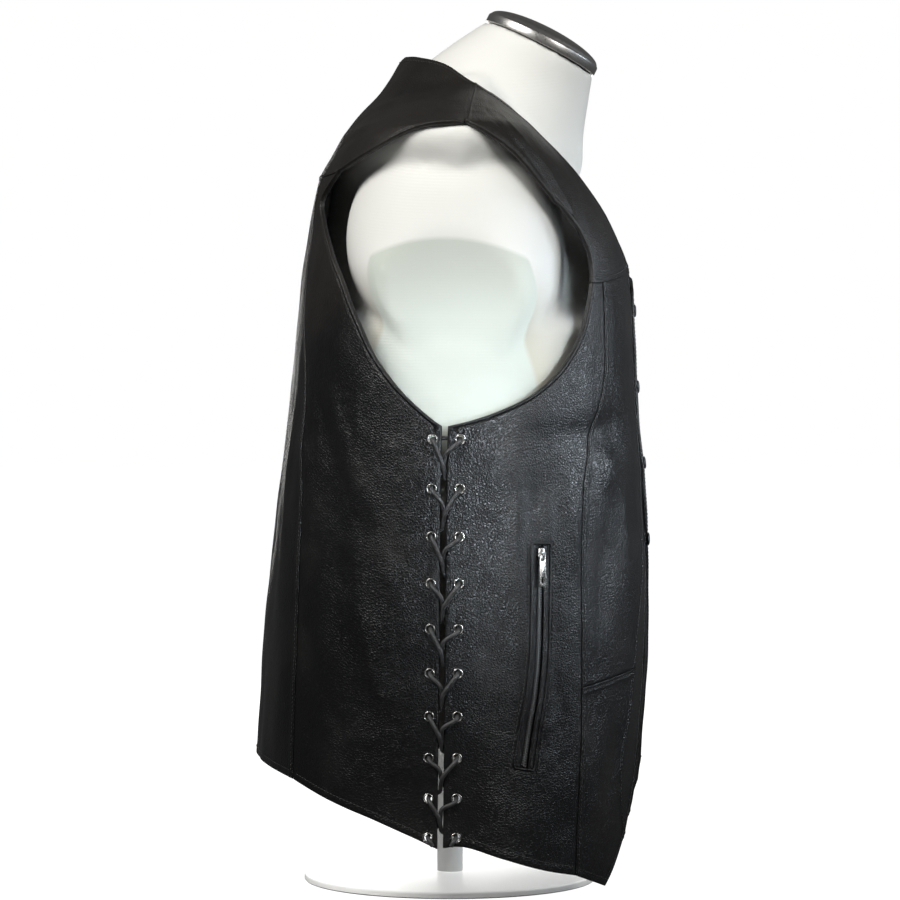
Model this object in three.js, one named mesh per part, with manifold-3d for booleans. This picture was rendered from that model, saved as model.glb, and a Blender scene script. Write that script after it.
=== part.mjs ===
// A side-laced leather vest on a limbless dress form, at its real size.
// Millimetres, +Z up. The front looks along -Y and the wearer's right is -X.
// The origin is under the middle of the stand's round base.
import * as THREE from "three";
import { mergeVertices } from "three/addons/utils/BufferGeometryUtils.js";
import Module from "manifold-3d";

const wasm = await Module();
wasm.setup();

// A short table: the column names, then one row for each section, fold or point.
const table = (columns, ...rows) =>
  rows.map((row) => Object.fromEntries(columns.split(" ").map((name, place) => [name, row[place]])));

// Leather and seams
const LEATHER = 2;
const SEAM_GAP = 0.44;
const MM_PER_DEGREE = 3.4;
const FRONT = -1;
const BACK = 1;

// Grid rows of the panels: below the slanted seam, above it, along the lacing, up the back
const LOW_ROWS = 5;
const HIGH_ROWS = 13;
const LACED_ROWS = 10;
const BACK_ROWS = 19;

// Side lacing
const LACING_ROWS = 10;
const LACING_TOP = 376.5;
const LACING_PITCH = 39.6;
const LACING_PITCH_LOSS = 0.5;
const LACING_GAP = 4.4;
const EYELET_HOLE = 7.6;
const HOLE_SIDES = 6;
const EYELET_FRONT = 12.6;
const EYELET_BACK = 9.8;
const LACE = 3;
const LACE_SIDES = 8;

// Zip pocket
const WINDOW_WIDTH = 18;
const WELT_GAP = 7.4;
const TAPE_WIDTH = 26;
const TEETH_WIDTH = 4.6;
const SLIDER_PLACE = 0.945;

// Front closing
const BAND_STEP = 2.4;
const SNAP_RADIUS = 5.5;
const SNAP_RISE = 1.8;
const SNAP_HEIGHTS = [487, 422, 357, 292];

// Dress form and stand
const FORM_BOTTOM = 124;
const FORM_TOP = 686;
const FORM_SIDES = 32;
const BASE_RADIUS = 125;
const BASE_HEIGHT = 6;
const POLE_RADIUS = 11;
const SEAT_GAP = 0.3;

// The vest's outer skin, ring by ring. Each ring is two half ovals that meet at its side,
// and a power over 2 squares an oval's corners.
const RINGS = table("z width side front back frontPower backPower",
  [0, 204, -10, -160, 168, 2.0, 2.3],
  [100, 205, -10, -166, 163.5, 2.0, 2.3],
  [240, 206, -10.5, -168, 153, 2.1, 2.3],
  [340, 206, -12, -165, 143.5, 2.2, 2.3],
  [410, 205, -14, -159, 135.5, 2.3, 2.3],
  [480, 202, -16, -156, 128.5, 2.3, 2.3],
  [522, 199, -17, -153, 123.5, 2.3, 2.3],
  [560, 196, -19, -140, 117.5, 2.3, 2.3],
  [596, 193, -22, -118, 109.5, 2.3, 2.3],
  [615, 190, -25, -102, 99, 2.3, 2.3],
  [629, 184, -28, -89, 91, 2.2, 2.3],
  [640, 160, -28, -79, 85, 2.2, 2.2],
  [652, 132, -28, -67, 77, 2.2, 2.2],
  [672, 85, -28, -56, 61, 2.2, 2.2],
  [687, 66, -27, -50, 51, 2.2, 2.2],
  [701, 41, -25, -40, 43, 2.2, 2.2],
  [710, 22, -20, -30, 33, 2.2, 2.2]);

// The largest folds: where each one lies, its spread across in degrees, half its run up
// and down, how far it leans as it climbs, in degrees a millimetre, and how far it lifts.
const FOLDS = table("angle z spread run lean lift",
  [-62, 386, 13, 17, 0.0, -4.0],
  [-50, 336, 7, 42, 0.02, 2.4],
  [-30, 330, 6, 55, -0.02, -2.2],
  [-17, 290, 7, 95, 0.01, 2.0],
  [-70, 240, 9, 70, 0.03, 2.2],
  [30, 330, 8, 120, 0.03, -2.4],
  [50, 250, 9, 130, -0.02, 2.6],
  [70, 420, 9, 90, 0.02, -2.6],
  [82, 210, 7, 80, -0.02, 2.4],
  [64, 545, 12, 18, 0.0, -2.4]);

// A curve through one column of a table that never overshoots its rows.
function smoothColumn(rows, column) {
  const slopes = rows.slice(1).map((row, place) => (row[column] - rows[place][column]) / (row.z - rows[place].z));
  const tangents = rows.map((row, place) => {
    const before = slopes[Math.max(place - 1, 0)];
    const after = slopes[Math.min(place, slopes.length - 1)];
    return before * after <= 0 ? 0 : (2 * before * after) / (before + after);
  });
  return (z) => {
    const last = rows.length - 2;
    const place = Math.min(Math.max(rows.findIndex((row) => row.z > z) - 1, 0), last);
    const index = z >= rows[last + 1].z ? last : place;
    const span = rows[index + 1].z - rows[index].z;
    const t = Math.min(Math.max((z - rows[index].z) / span, 0), 1);
    const start = rows[index][column];
    const end = rows[index + 1][column];
    const rise = t * t * (3 - 2 * t);
    const leave = t * (1 - t) * (1 - t) * span * tangents[index];
    const arrive = t * t * (t - 1) * span * tangents[index + 1];
    return start + (end - start) * rise + leave + arrive;
  };
}

const ringColumns = ["width", "side", "front", "back", "frontPower", "backPower"];
const ringCurves = ringColumns.map((column) => [column, smoothColumn(RINGS, column)]);
const ringAt = (z) => Object.fromEntries(ringCurves.map(([column, curve]) => [column, curve(z)]));
const signedPower = (value, power) => Math.sign(value) * Math.abs(value) ** power;

// The lift of the folds. The left side's folds mirror the right side's.
function foldLift(angle, z) {
  const right = angle > 90 ? 180 - angle : angle;
  return FOLDS.reduce((sum, fold) => {
    const across = (right - fold.angle - fold.lean * (z - fold.z)) / fold.spread;
    const along = (z - fold.z) / fold.run;
    return sum + fold.lift * Math.exp(-across * across - along * along);
  }, 0);
}

// A point of the skin. The angle is 0 at the wearer's right side, 90 at the middle of
// the back, 180 at the left side and -90 or 270 at the middle of the front.
function skinPoint(angle, z, withFolds = true) {
  const ring = ringAt(z);
  const across = Math.cos(THREE.MathUtils.degToRad(angle));
  const along = Math.sin(THREE.MathUtils.degToRad(angle));
  const reach = along > 0 ? ring.back - ring.side : ring.side - ring.front;
  const power = 2 / (along > 0 ? ring.backPower : ring.frontPower);
  const x = -ring.width * signedPower(across, power);
  const y = reach * signedPower(along, power);
  const outward = new THREE.Vector2(x / ring.width ** 2, y / reach ** 2).normalize();
  const lift = withFolds ? foldLift(angle, z) : 0;
  return new THREE.Vector3(x + outward.x * lift, ring.side + y + outward.y * lift, z);
}

function skinNormal(angle, z, withFolds = true) {
  const alongRing = skinPoint(angle + 0.5, z, withFolds).sub(skinPoint(angle - 0.5, z, withFolds));
  const upward = skinPoint(angle, z + 1, withFolds).sub(skinPoint(angle, z - 1, withFolds));
  return upward.cross(alongRing).normalize();
}

const offSkin = (angle, z, out) => skinPoint(angle, z).addScaledVector(skinNormal(angle, z), out);

// Where the skin at height z meets a given x or y, as an [angle, z] pair.
function atX(x, z, half) {
  const ring = ringAt(z);
  const power = (half === BACK ? ring.backPower : ring.frontPower) / 2;
  const across = signedPower(-x / ring.width, power);
  return [half * THREE.MathUtils.radToDeg(Math.acos(THREE.MathUtils.clamp(across, -1, 1))), z];
}

function atY(y, z) {
  const ring = ringAt(z);
  const isBack = y > ring.side;
  const reach = isBack ? ring.back - ring.side : ring.side - ring.front;
  const along = signedPower((y - ring.side) / reach, (isBack ? ring.backPower : ring.frontPower) / 2);
  return [THREE.MathUtils.radToDeg(Math.asin(THREE.MathUtils.clamp(along, -1, 1))), z];
}

// A smooth seam through [angle, z] points, cut into equal steps.
function seam(points, steps) {
  const flat = points.map(([angle, z]) => new THREE.Vector3(angle * MM_PER_DEGREE, z, 0));
  const curve = new THREE.CatmullRomCurve3(flat, false, "centripetal");
  return curve.getSpacedPoints(steps).map((point) => [point.x / MM_PER_DEGREE, point.y]);
}

const join = (first, ...others) => others.reduce((line, next) => line.concat(next.slice(1)), first);
const reversed = (line) => [...line].reverse();
const acrossTheBack = (line) => reversed(line).map(([angle, z]) => [180 - angle, z]);

// Seams and edges of the wearer's right half. Level ones run from the front to the back,
// and the others run upward.
const gapMiddle = (z) => -10 - 0.012 * Math.max(z - 60, 0);
const frontLaced = (z) => atY(gapMiddle(z) - LACING_GAP / 2, z);
const backLaced = (z) => atY(gapMiddle(z) + LACING_GAP / 2, z);

const corners = {
  frontPoint: atX(-109.5, 10.5, FRONT),
  bandCorner: atX(-58, 98, FRONT),
  bandFoot: atX(-76, 50, FRONT),
  bandSlant: atX(-67.5, 187, FRONT),
  bandTop: atX(-20, 521, FRONT),
  bandTip: atX(10, 504, FRONT),
  frontSeamFoot: atX(-147.5, 24, FRONT),
  frontSeamSlant: atX(-149.6, 176, FRONT),
  frontSeamTop: atX(-115.4, 505, FRONT),
  frontYokeCorner: atY(-127.9, 503.6),
  frontUnderarm: frontLaced(387),
  frontLacedFoot: frontLaced(52.5),
  backUnderarm: backLaced(387),
  backLacedFoot: backLaced(51.5),
  backSeamFoot: atX(-156, 101, BACK),
  backSeamTop: atX(-98, 594.5, BACK),
  backYokeCorner: atY(79, 595.1),
  shoulderTip: atY(-28, 631.5),
  neckPoint: atY(-28, 674),
};

const frontSeamLow = seam([
  corners.frontSeamFoot, atX(-148, 94, FRONT), corners.frontSeamSlant], LOW_ROWS);
const frontSeamHigh = seam([
  corners.frontSeamSlant, atX(-152.4, 230, FRONT), atX(-154.3, 287, FRONT), atX(-153, 345, FRONT),
  atX(-146, 375, FRONT), atX(-131, 404, FRONT), atX(-121.4, 429, FRONT), atX(-117, 479, FRONT),
  corners.frontSeamTop], HIGH_ROWS);
const slantSeam = seam([corners.bandSlant, corners.frontSeamSlant], 4);
const bandLineLow = seam([
  corners.bandFoot, atX(-86, 80, FRONT), atX(-88, 112, FRONT), atX(-75.6, 152, FRONT),
  corners.bandSlant], LOW_ROWS);
const bandLineHigh = seam([
  corners.bandSlant, atX(-60, 226, FRONT), atX(-45, 255, FRONT), atX(-28, 300, FRONT),
  atX(-21, 350, FRONT), atX(-20, 430, FRONT), corners.bandTop], HIGH_ROWS);
const frontEdgeLow = seam([
  corners.bandCorner, atX(-53, 112, FRONT), atX(-41, 152, FRONT), atX(-32, 187, FRONT)], LOW_ROWS);
const frontEdgeHigh = seam([
  frontEdgeLow.at(-1), atX(-22, 226, FRONT), atX(-10, 255, FRONT), atX(4, 300, FRONT),
  atX(9, 350, FRONT), atX(10, 400, FRONT), corners.bandTip], HIGH_ROWS);
const bandTopEdge = seam([corners.bandTip, corners.bandTop], 4);
const bandFootEdge = seam([
  corners.bandCorner, atX(-64, 84, FRONT), atX(-69, 66, FRONT), corners.bandFoot], 4);
const cutaway = seam([corners.bandFoot, atX(-91, 29.6, FRONT), corners.frontPoint], 2);
const frontHemShort = seam([corners.frontPoint, corners.frontSeamFoot], 2);
const frontHem = seam([
  corners.frontSeamFoot, atY(-91.4, 31), atY(-60, 42.2), atY(-28, 53.2), corners.frontLacedFoot], 6);
const frontYokeSeam = seam([corners.bandTop, atX(-70, 512, FRONT), corners.frontSeamTop], 4);
const frontYokeBit = (steps) => seam([corners.frontSeamTop, corners.frontYokeCorner], steps);
const frontLacedEdge = seam([corners.frontLacedFoot, frontLaced(220), corners.frontUnderarm], LACED_ROWS);
const armholeFront = seam([
  corners.frontUnderarm, atY(-36.9, 392.1), atY(-60.4, 400.5), atY(-83.5, 412.6), atY(-101.9, 429.6),
  atY(-113.3, 446.8), atY(-121.2, 466.5), atY(-125.7, 486.3), corners.frontYokeCorner],
  LOW_ROWS + HIGH_ROWS - LACED_ROWS);
const armholeFrontTop = seam([
  corners.frontYokeCorner, atY(-127.1, 520.8), atY(-121.8, 537.7), atY(-110.1, 556.6),
  atY(-96.2, 572.7), atY(-82.2, 588.9), atY(-68.2, 605.1), atY(-52, 617.6), corners.shoulderTip], 11);
const veeEdge = seam([
  corners.bandTop, atX(-35, 545, FRONT), atX(-51, 573, FRONT), atX(-66, 597, FRONT),
  atX(-79, 625, FRONT), atX(-87, 648, FRONT), corners.neckPoint], 11);
const shoulderSeam = seam([corners.shoulderTip, corners.neckPoint], 5);
const backLacedEdge = seam([corners.backLacedFoot, backLaced(220), corners.backUnderarm], LACED_ROWS);
const armholeBack = seam([
  corners.backUnderarm, atY(6, 400.5), atY(25.6, 419.7), atY(45.7, 446.2), atY(61.6, 478),
  atY(72.9, 505.2), atY(85.1, 530.7), atY(94, 554.4), atY(97, 572.8), corners.backYokeCorner],
  BACK_ROWS - LACED_ROWS);
const armholeBackTop = seam([
  corners.backYokeCorner, atY(59.4, 605.3), atY(40.9, 613.6), atY(18.1, 624.5), atY(-1.4, 629.5),
  corners.shoulderTip], 6);
const backHem = seam([
  corners.backLacedFoot, atY(8.4, 58.7), atY(45, 73.5), atY(83, 87.3), corners.backSeamFoot], 6);
const backSeam = seam([
  corners.backSeamFoot, atX(-154.5, 200, BACK), atX(-152, 283, BACK), atX(-147, 345, BACK),
  atX(-135, 421, BACK), atX(-122, 458, BACK), atX(-107, 494, BACK), atX(-95, 530, BACK),
  atX(-93, 565, BACK), corners.backSeamTop], BACK_ROWS);
const backYokeBit = (steps) => seam([corners.backYokeCorner, corners.backSeamTop], steps);
const backYokeHalf = seam([corners.backSeamTop, [90, 596]], 6);
const centreHemHalf = seam([
  corners.backSeamFoot, atX(-125, 106.6, BACK), atX(-80, 110.5, BACK), [90, 111]], 6);
const neckHalf = seam([
  corners.neckPoint, atY(-2.2, 692.6), atY(23.2, 702.6), [90, 706.5]], 8);

// A four-sided panel's grid, blended from its bottom, top, front and back edges.
function panelGrid(bottom, top, front, back) {
  const rows = front.length - 1;
  const columns = bottom.length - 1;
  const blend = (row, column, part) => {
    const u = column / columns;
    const v = row / rows;
    const level = (1 - v) * bottom[column][part] + v * top[column][part];
    const upright = (1 - u) * front[row][part] + u * back[row][part];
    const lowCorners = (1 - u) * bottom[0][part] + u * bottom[columns][part];
    const highCorners = (1 - u) * top[0][part] + u * top[columns][part];
    return level + upright - (1 - v) * lowCorners - v * highCorners;
  };
  return front.map((_, row) => bottom.map((__, column) => [blend(row, column, 0), blend(row, column, 1)]));
}

// Each edge is drawn in along the panel, so that sewn neighbours stay apart.
function drawnIn(points) {
  const lastRow = points.length - 1;
  const lastColumn = points[0].length - 1;
  const moved = points.map((row) => row.map((point) => point.clone()));
  const pull = (row, column, nextRow, nextColumn) => {
    const inward = points[nextRow][nextColumn].clone().sub(points[row][column]).normalize();
    moved[row][column].addScaledVector(inward, SEAM_GAP / 2);
  };
  for (let column = 0; column <= lastColumn; column += 1) {
    pull(0, column, 1, column);
    pull(lastRow, column, lastRow - 1, column);
  }
  for (let row = 0; row <= lastRow; row += 1) {
    pull(row, 0, row, 1);
    pull(row, lastColumn, row, lastColumn - 1);
  }
  return moved;
}

function geometryFrom(points, triangles) {
  const geometry = new THREE.BufferGeometry();
  geometry.setAttribute("position", new THREE.Float32BufferAttribute(points.flatMap((p) => p.toArray()), 3));
  const volume = triangles.reduce((sum, [a, b, c]) =>
    sum + points[a].dot(new THREE.Vector3().crossVectors(points[b], points[c])), 0);
  geometry.setIndex(triangles.flatMap(([a, b, c]) => (volume > 0 ? [a, b, c] : [a, c, b])));
  return geometry;
}

// A closed wall between two grids of points, with its four edges.
function closedWall(outer, inner) {
  const rows = outer.length;
  const columns = outer[0].length;
  const points = [...outer.flat(), ...inner.flat()];
  const depth = rows * columns;
  const triangles = [];
  const quad = (a, b, c, d) => {
    if (points[a].distanceTo(points[c]) < points[b].distanceTo(points[d])) {
      triangles.push([a, b, c], [a, c, d]);
    } else {
      triangles.push([a, b, d], [b, c, d]);
    }
  };
  for (let row = 0; row < rows - 1; row += 1) {
    for (let column = 0; column < columns - 1; column += 1) {
      const a = row * columns + column;
      const corner = [a, a + 1, a + columns + 1, a + columns];
      quad(...corner);
      quad(...corner.map((place) => place + depth).reverse());
    }
  }
  for (let column = 0; column < columns - 1; column += 1) {
    const top = (rows - 1) * columns + column;
    quad(column + 1, column, column + depth, column + 1 + depth);
    quad(top, top + 1, top + 1 + depth, top + depth);
  }
  for (let row = 0; row < rows - 1; row += 1) {
    const low = row * columns;
    const high = low + columns - 1;
    quad(low, low + columns, low + columns + depth, low + depth);
    quad(high + columns, high, high + depth, high + columns + depth);
  }
  return geometryFrom(points, triangles);
}

// A leather panel on the skin, or standing off it by a distance given for each column.
function panel(grid, outAt = () => 0) {
  const normals = grid.map((row) => row.map(([angle, z]) => skinNormal(angle, z)));
  const raw = grid.map((row) => row.map(([angle, z], column) => offSkin(angle, z, outAt(column))));
  const outer = drawnIn(raw);
  const inner = outer.map((row, r) => row.map((point, c) => point.clone().addScaledVector(normals[r][c], -LEATHER)));
  return closedWall(outer, inner);
}

// The same piece for the wearer's left.
function mirrored(geometry) {
  const copy = geometry.clone();
  const places = copy.getAttribute("position");
  for (let index = 0; index < places.count; index += 1) {
    places.setX(index, -places.getX(index));
  }
  const order = copy.getIndex();
  for (let index = 0; index < order.count; index += 3) {
    const second = order.getX(index + 1);
    order.setX(index + 1, order.getX(index + 2));
    order.setX(index + 2, second);
  }
  return copy;
}

function merged(geometry) {
  const copy = geometry.clone();
  copy.deleteAttribute("normal");
  copy.deleteAttribute("uv");
  return mergeVertices(copy, 1e-4);
}

function solid(geometry) {
  const closed = merged(geometry);
  return new wasm.Manifold(new wasm.Mesh({
    numProp: 3,
    vertProperties: new Float32Array(closed.getAttribute("position").array),
    triVerts: new Uint32Array(closed.getIndex().array),
  }));
}

function fromSolid(body) {
  const mesh = body.getMesh();
  const geometry = new THREE.BufferGeometry();
  geometry.setAttribute("position", new THREE.BufferAttribute(new Float32Array(mesh.vertProperties), 3));
  geometry.setIndex(new THREE.BufferAttribute(new Uint32Array(mesh.triVerts), 1));
  return geometry;
}

const cutFrom = (geometry, cutters) =>
  fromSolid(cutters.reduce((body, cutter) => body.subtract(solid(cutter)), solid(geometry)));
const joined = (...geometries) =>
  fromSolid(geometries.slice(1).reduce((body, next) => body.add(solid(next)), solid(geometries[0])));

// A frame on the skin of the right side: its origin, the way across, up and outward.
function frameAt(y, z, yBelow, yAbove, reach) {
  const origin = skinPoint(...atY(y, z));
  const out = skinNormal(...atY(y, z));
  const rise = skinPoint(...atY(yAbove, z + reach)).sub(skinPoint(...atY(yBelow, z - reach)));
  const up = rise.addScaledVector(out, -rise.dot(out)).normalize();
  const across = new THREE.Vector3().crossVectors(up, out);
  return new THREE.Matrix4().makeBasis(across, up, out).setPosition(origin);
}

// Lacing holes, in a front and a back column.
const lacingHeight = (row) => LACING_TOP - LACING_PITCH * row + LACING_PITCH_LOSS * row * row;
const lacingPlace = (row, across) => atY(gapMiddle(lacingHeight(row)) + across, lacingHeight(row));

function lacingHoles(across) {
  return Array.from({ length: LACING_ROWS }, (_, row) => {
    const place = lacingPlace(row, across);
    const cutter = new THREE.CylinderGeometry(EYELET_HOLE / 2, EYELET_HOLE / 2, 12, HOLE_SIDES);
    const turn = new THREE.Quaternion().setFromUnitVectors(new THREE.Vector3(0, 1, 0), skinNormal(...place));
    cutter.applyQuaternion(turn);
    const middle = offSkin(...place, -LEATHER / 2);
    return cutter.translate(middle.x, middle.y, middle.z);
  });
}

// Panels of the wearer's right half
const backSideGrid = panelGrid(
  backHem, backYokeBit(6), join(backLacedEdge, armholeBack), backSeam);
const frontSideGrid = panelGrid(
  frontHem, frontYokeBit(6), join(frontSeamLow, frontSeamHigh), join(frontLacedEdge, armholeFront));
const frontUpperGrid = panelGrid(slantSeam, frontYokeSeam, bandLineHigh, frontSeamHigh);
const frontLowerGrid = panelGrid(join(cutaway, frontHemShort), slantSeam, bandLineLow, frontSeamLow);
const frontYokeGrid = panelGrid(
  join(frontYokeSeam, frontYokeBit(1)), reversed(shoulderSeam), veeEdge, armholeFrontTop);
const bandGrid = panelGrid(
  bandFootEdge, bandTopEdge, join(frontEdgeLow, frontEdgeHigh), join(bandLineLow, bandLineHigh));

// Panels that cross the back
const backYokeSide = join(armholeBackTop, shoulderSeam);
const backYokeBottom = join(backYokeBit(2), backYokeHalf);
const backYokeGrid = panelGrid(
  join(backYokeBottom, acrossTheBack(backYokeBottom)), join(neckHalf, acrossTheBack(neckHalf)),
  backYokeSide, backYokeSide.map(([angle, z]) => [180 - angle, z]));
const backCentreGrid = panelGrid(
  join(centreHemHalf, acrossTheBack(centreHemHalf)), join(backYokeHalf, acrossTheBack(backYokeHalf)),
  backSeam, backSeam.map(([angle, z]) => [180 - angle, z]));

// The zip's line, from its foot to its head
const ZIP_LINE = table("y z",
  [-75.5, 114], [-80.3, 149], [-84.8, 178], [-87.6, 212.5], [-88.8, 255.6], [-89.3, 293]);
const zipCurve = new THREE.CatmullRomCurve3(ZIP_LINE.map((row) => new THREE.Vector3(0, row.y, row.z)));

function zipFrame(along) {
  const here = zipCurve.getPointAt(along);
  const step = zipCurve.getTangentAt(along).multiplyScalar(4);
  return frameAt(here.y, here.z, here.y - step.y, here.y + step.y, step.z);
}

// A strip along the zip, from one distance across to another and between two depths.
function zipStrip(range, across, depth, steps = 9) {
  const grid = (level) => Array.from({ length: steps + 1 }, (_, step) => {
    const along = range[0] + ((range[1] - range[0]) * step) / steps;
    const frame = zipFrame(THREE.MathUtils.clamp(along, 0, 1));
    return across.map((side) => new THREE.Vector3(side, (along - THREE.MathUtils.clamp(along, 0, 1)) * 180, level)
      .applyMatrix4(frame));
  });
  return closedWall(grid(depth[1]), grid(depth[0]));
}

const windowHalf = WINDOW_WIDTH / 2;
const weltHalf = WELT_GAP / 2;
const zipWindow = zipStrip([0, 1], [-windowHalf, windowHalf], [-8, 8]);
const welt = (near, far) => zipStrip([0.003, 0.997], [near, (near + far) / 2, far], [-LEATHER, 0.5]);
const zipTape = joined(
  zipStrip([-0.03, 1.03], [-TAPE_WIDTH / 2, TAPE_WIDTH / 2], [-4.2, -3.2]),
  zipStrip([0.01, 0.99], [-TEETH_WIDTH / 2, TEETH_WIDTH / 2], [-3.4, -1.9]));

// The slider and its pull are drawn flat, then set on the skin at the slider's place.
const sliderFrame = zipFrame(SLIDER_PLACE);
const PIVOT = { along: 1.6, out: 2.35 };
const box = (width, length, height, x, y, z) =>
  new THREE.BoxGeometry(width, length, height).translate(x, y, z);

function sliderGeometry() {
  const outline = new THREE.Shape();
  outline.moveTo(-2.2, -6.5);
  outline.lineTo(2.2, -6.5);
  outline.lineTo(3.2, 2);
  outline.lineTo(2.6, 6.5);
  outline.lineTo(-2.6, 6.5);
  outline.lineTo(-3.2, 2);
  const body = new THREE.ExtrudeGeometry(outline, { depth: 2.8, bevelEnabled: false }).translate(0, 0, -1.4);
  const bridge = box(2, 9, 3.2, 0, PIVOT.along, 2.8);
  const eye = box(4, 6.6, 1.9, 0, PIVOT.along, PIVOT.out);
  return fromSolid(solid(body).add(solid(bridge)).subtract(solid(eye)));
}

// The pull lies at its pivot: a round bar through the slider's bridge, two arms and a tab.
function pullGeometry() {
  const outline = new THREE.Shape();
  outline.moveTo(-2.6, -5.6);
  outline.lineTo(-3.5, -24);
  outline.quadraticCurveTo(-3.5, -25.6, -2, -25.6);
  outline.lineTo(2, -25.6);
  outline.quadraticCurveTo(3.5, -25.6, 3.5, -24);
  outline.lineTo(2.6, -5.6);
  const slot = new THREE.Path();
  slot.moveTo(-1.2, -18);
  slot.lineTo(1.2, -18);
  slot.lineTo(1.2, -23);
  slot.lineTo(-1.2, -23);
  outline.holes.push(slot);
  const tab = new THREE.ExtrudeGeometry(outline, { depth: 1.2, bevelEnabled: false, curveSegments: 3 });
  tab.translate(0, 0, -0.6);
  const bar = new THREE.CylinderGeometry(0.55, 0.55, 5, 8).rotateZ(Math.PI / 2);
  const arms = [-2.05, 2.05].map((x) => box(1.1, 6.6, 1.0, x, -3, 0));
  return joined(tab, bar, ...arms);
}

const setOnZip = (geometry, along, out) => geometry.translate(0, along, out).applyMatrix4(sliderFrame);

// One lace for a side. Each strand comes up through an eyelet, lies over its panel down
// to the gap, dives under the other panel and comes up through the next eyelet there.
function laceStrand(startsInFront, divesAt) {
  const stations = [];
  const station = (across, z, depth) => stations.push({ across, z, depth });
  for (let row = 0; row < LACING_ROWS; row += 1) {
    const inFront = startsInFront === (row % 2 === 0);
    const side = inFront ? -1 : 1;
    const near = side * (inFront ? EYELET_FRONT : EYELET_BACK);
    const far = -side * (inFront ? EYELET_BACK : EYELET_FRONT);
    const top = lacingHeight(row);
    station(near, top, -LEATHER / 2);
    if (row < LACING_ROWS - 1) {
      const next = lacingHeight(row + 1);
      const dive = top - divesAt * (top - next);
      station(near - side * 1.6, top - 2.9, 2.3);
      station(side * 1.3, dive + 6, 2.1);
      station(0, dive, -LEATHER / 2);
      station(-side * 1.3, dive - 6, -4.2);
      station(far + side * 1.6, next + 2.7, -4.7);
    } else {
      station(near - side * 2.2, top - 2.9, 2.3);
      station(near - side * 4.2, top - 6.4, 2.0);
    }
  }
  return stations;
}

// A curve that steps from one of its points to the next.
class LaceRoute extends THREE.CatmullRomCurve3 {
  getPointAt(along) {
    return this.getPoint(along);
  }

  getTangentAt(along) {
    return this.getTangent(along);
  }
}

function laceGeometry() {
  const topBar = table("across z depth", [2.6 - EYELET_FRONT, LACING_TOP + 0.5, -4.7],
    [0, LACING_TOP + 1, -4.6], [EYELET_BACK - 2.6, LACING_TOP + 0.5, -4.7]);
  const stations = [
    ...reversed(laceStrand(true, 0.46)), ...topBar, ...laceStrand(false, 0.66)];
  const points = stations.map(({ across, z, depth }) =>
    offSkin(...atY(gapMiddle(z) + across, z), depth));
  const section = new THREE.Shape();
  for (let corner = 0; corner < LACE_SIDES; corner += 1) {
    const turn = (2 * Math.PI * corner) / LACE_SIDES;
    const draw = corner === 0 ? "moveTo" : "lineTo";
    section[draw]((LACE / 2) * Math.cos(turn), (LACE / 2) * Math.sin(turn));
  }
  const route = new LaceRoute(points, false, "centripetal");
  return merged(new THREE.ExtrudeGeometry(section, {
    steps: points.length - 1, bevelEnabled: false, extrudePath: route }));
}

// The dress form's torso carries the vest on its shoulders. It is slimmer than the vest at the
// waist, and its chest and back turn in toward the arm stumps.
function formInset(angle, z) {
  const { clamp, degToRad, smoothstep } = THREE.MathUtils;
  const right = angle > 90 ? 180 - angle : angle;
  const sideways = Math.cos(degToRad(clamp(right, -90, 90))) ** 2;
  const belowShoulder = smoothstep(638 - z, 0, 70);
  const waist = 1 - smoothstep(z, 320, 395);
  const chest = smoothstep(z, 468, 500) * (1 - smoothstep(z, 575, 630));
  const hollow = 2 * Math.sqrt(sideways * (1 - sideways));
  return LEATHER + 1.1 + belowShoulder * (6 + (24 + 32 * waist) * sideways) + 38 * chest * hollow;
}

// A closed body through rings of points, with a flat end at each.
function loft(rings) {
  const count = rings[0].length;
  const points = rings.flat();
  const triangles = [];
  for (let ring = 0; ring < rings.length - 1; ring += 1) {
    for (let side = 0; side < count; side += 1) {
      const a = ring * count + side;
      const b = ring * count + ((side + 1) % count);
      triangles.push([a, b, b + count], [a, b + count, a + count]);
    }
  }
  const capEnd = (ring, flip) => {
    const middle = rings[ring].reduce((sum, point) => sum.add(point), new THREE.Vector3()).divideScalar(count);
    const hub = points.push(middle) - 1;
    for (let side = 0; side < count; side += 1) {
      const a = ring * count + side;
      const b = ring * count + ((side + 1) % count);
      triangles.push(flip ? [hub, b, a] : [hub, a, b]);
    }
  };
  capEnd(0, true);
  capEnd(rings.length - 1, false);
  return geometryFrom(points, triangles);
}

const ringOf = (count, pointAt) => Array.from({ length: count }, (_, side) => pointAt((360 * side) / count));

function torsoGeometry() {
  const heights = [
    FORM_BOTTOM, 140, 220, 310, 335, 360, 395, 430, 466, 484, 500, 535, 572, 600, 616, 630, 640, 652, 664, 674,
    FORM_TOP];
  return loft(heights.map((z) => ringOf(FORM_SIDES, (angle) => {
    const point = skinPoint(angle - 90, z, false);
    const inset = formInset(angle - 90, z);
    const moved = point.addScaledVector(skinNormal(angle - 90, z, false), -inset);
    const pinch = z === FORM_BOTTOM ? 0.94 : 1;
    return new THREE.Vector3(moved.x * pinch, moved.y * pinch, Math.max(moved.z, FORM_BOTTOM));
  })));
}

// The neck leans forward, and its top is cut square to it.
const NECK = table("y z across deep tilt",
  [-30, 600, 60, 78, 6], [-37, 636, 64, 80, 16], [-44, 664, 64, 76, 22], [-60, 690, 55, 64, 24],
  [-77, 712, 50, 51, 27]);
const CAP_HEIGHT = 19;
const CAP_RADIUS = 52;

function neckGeometry() {
  return loft(NECK.map((ring) => ringOf(24, (angle) => {
    const turn = THREE.MathUtils.degToRad(angle);
    const tilt = THREE.MathUtils.degToRad(ring.tilt);
    const back = ring.deep * Math.sin(turn);
    return new THREE.Vector3(
      ring.across * Math.cos(turn), ring.y + back * Math.cos(tilt), ring.z + back * Math.sin(tilt));
  })));
}

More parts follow.
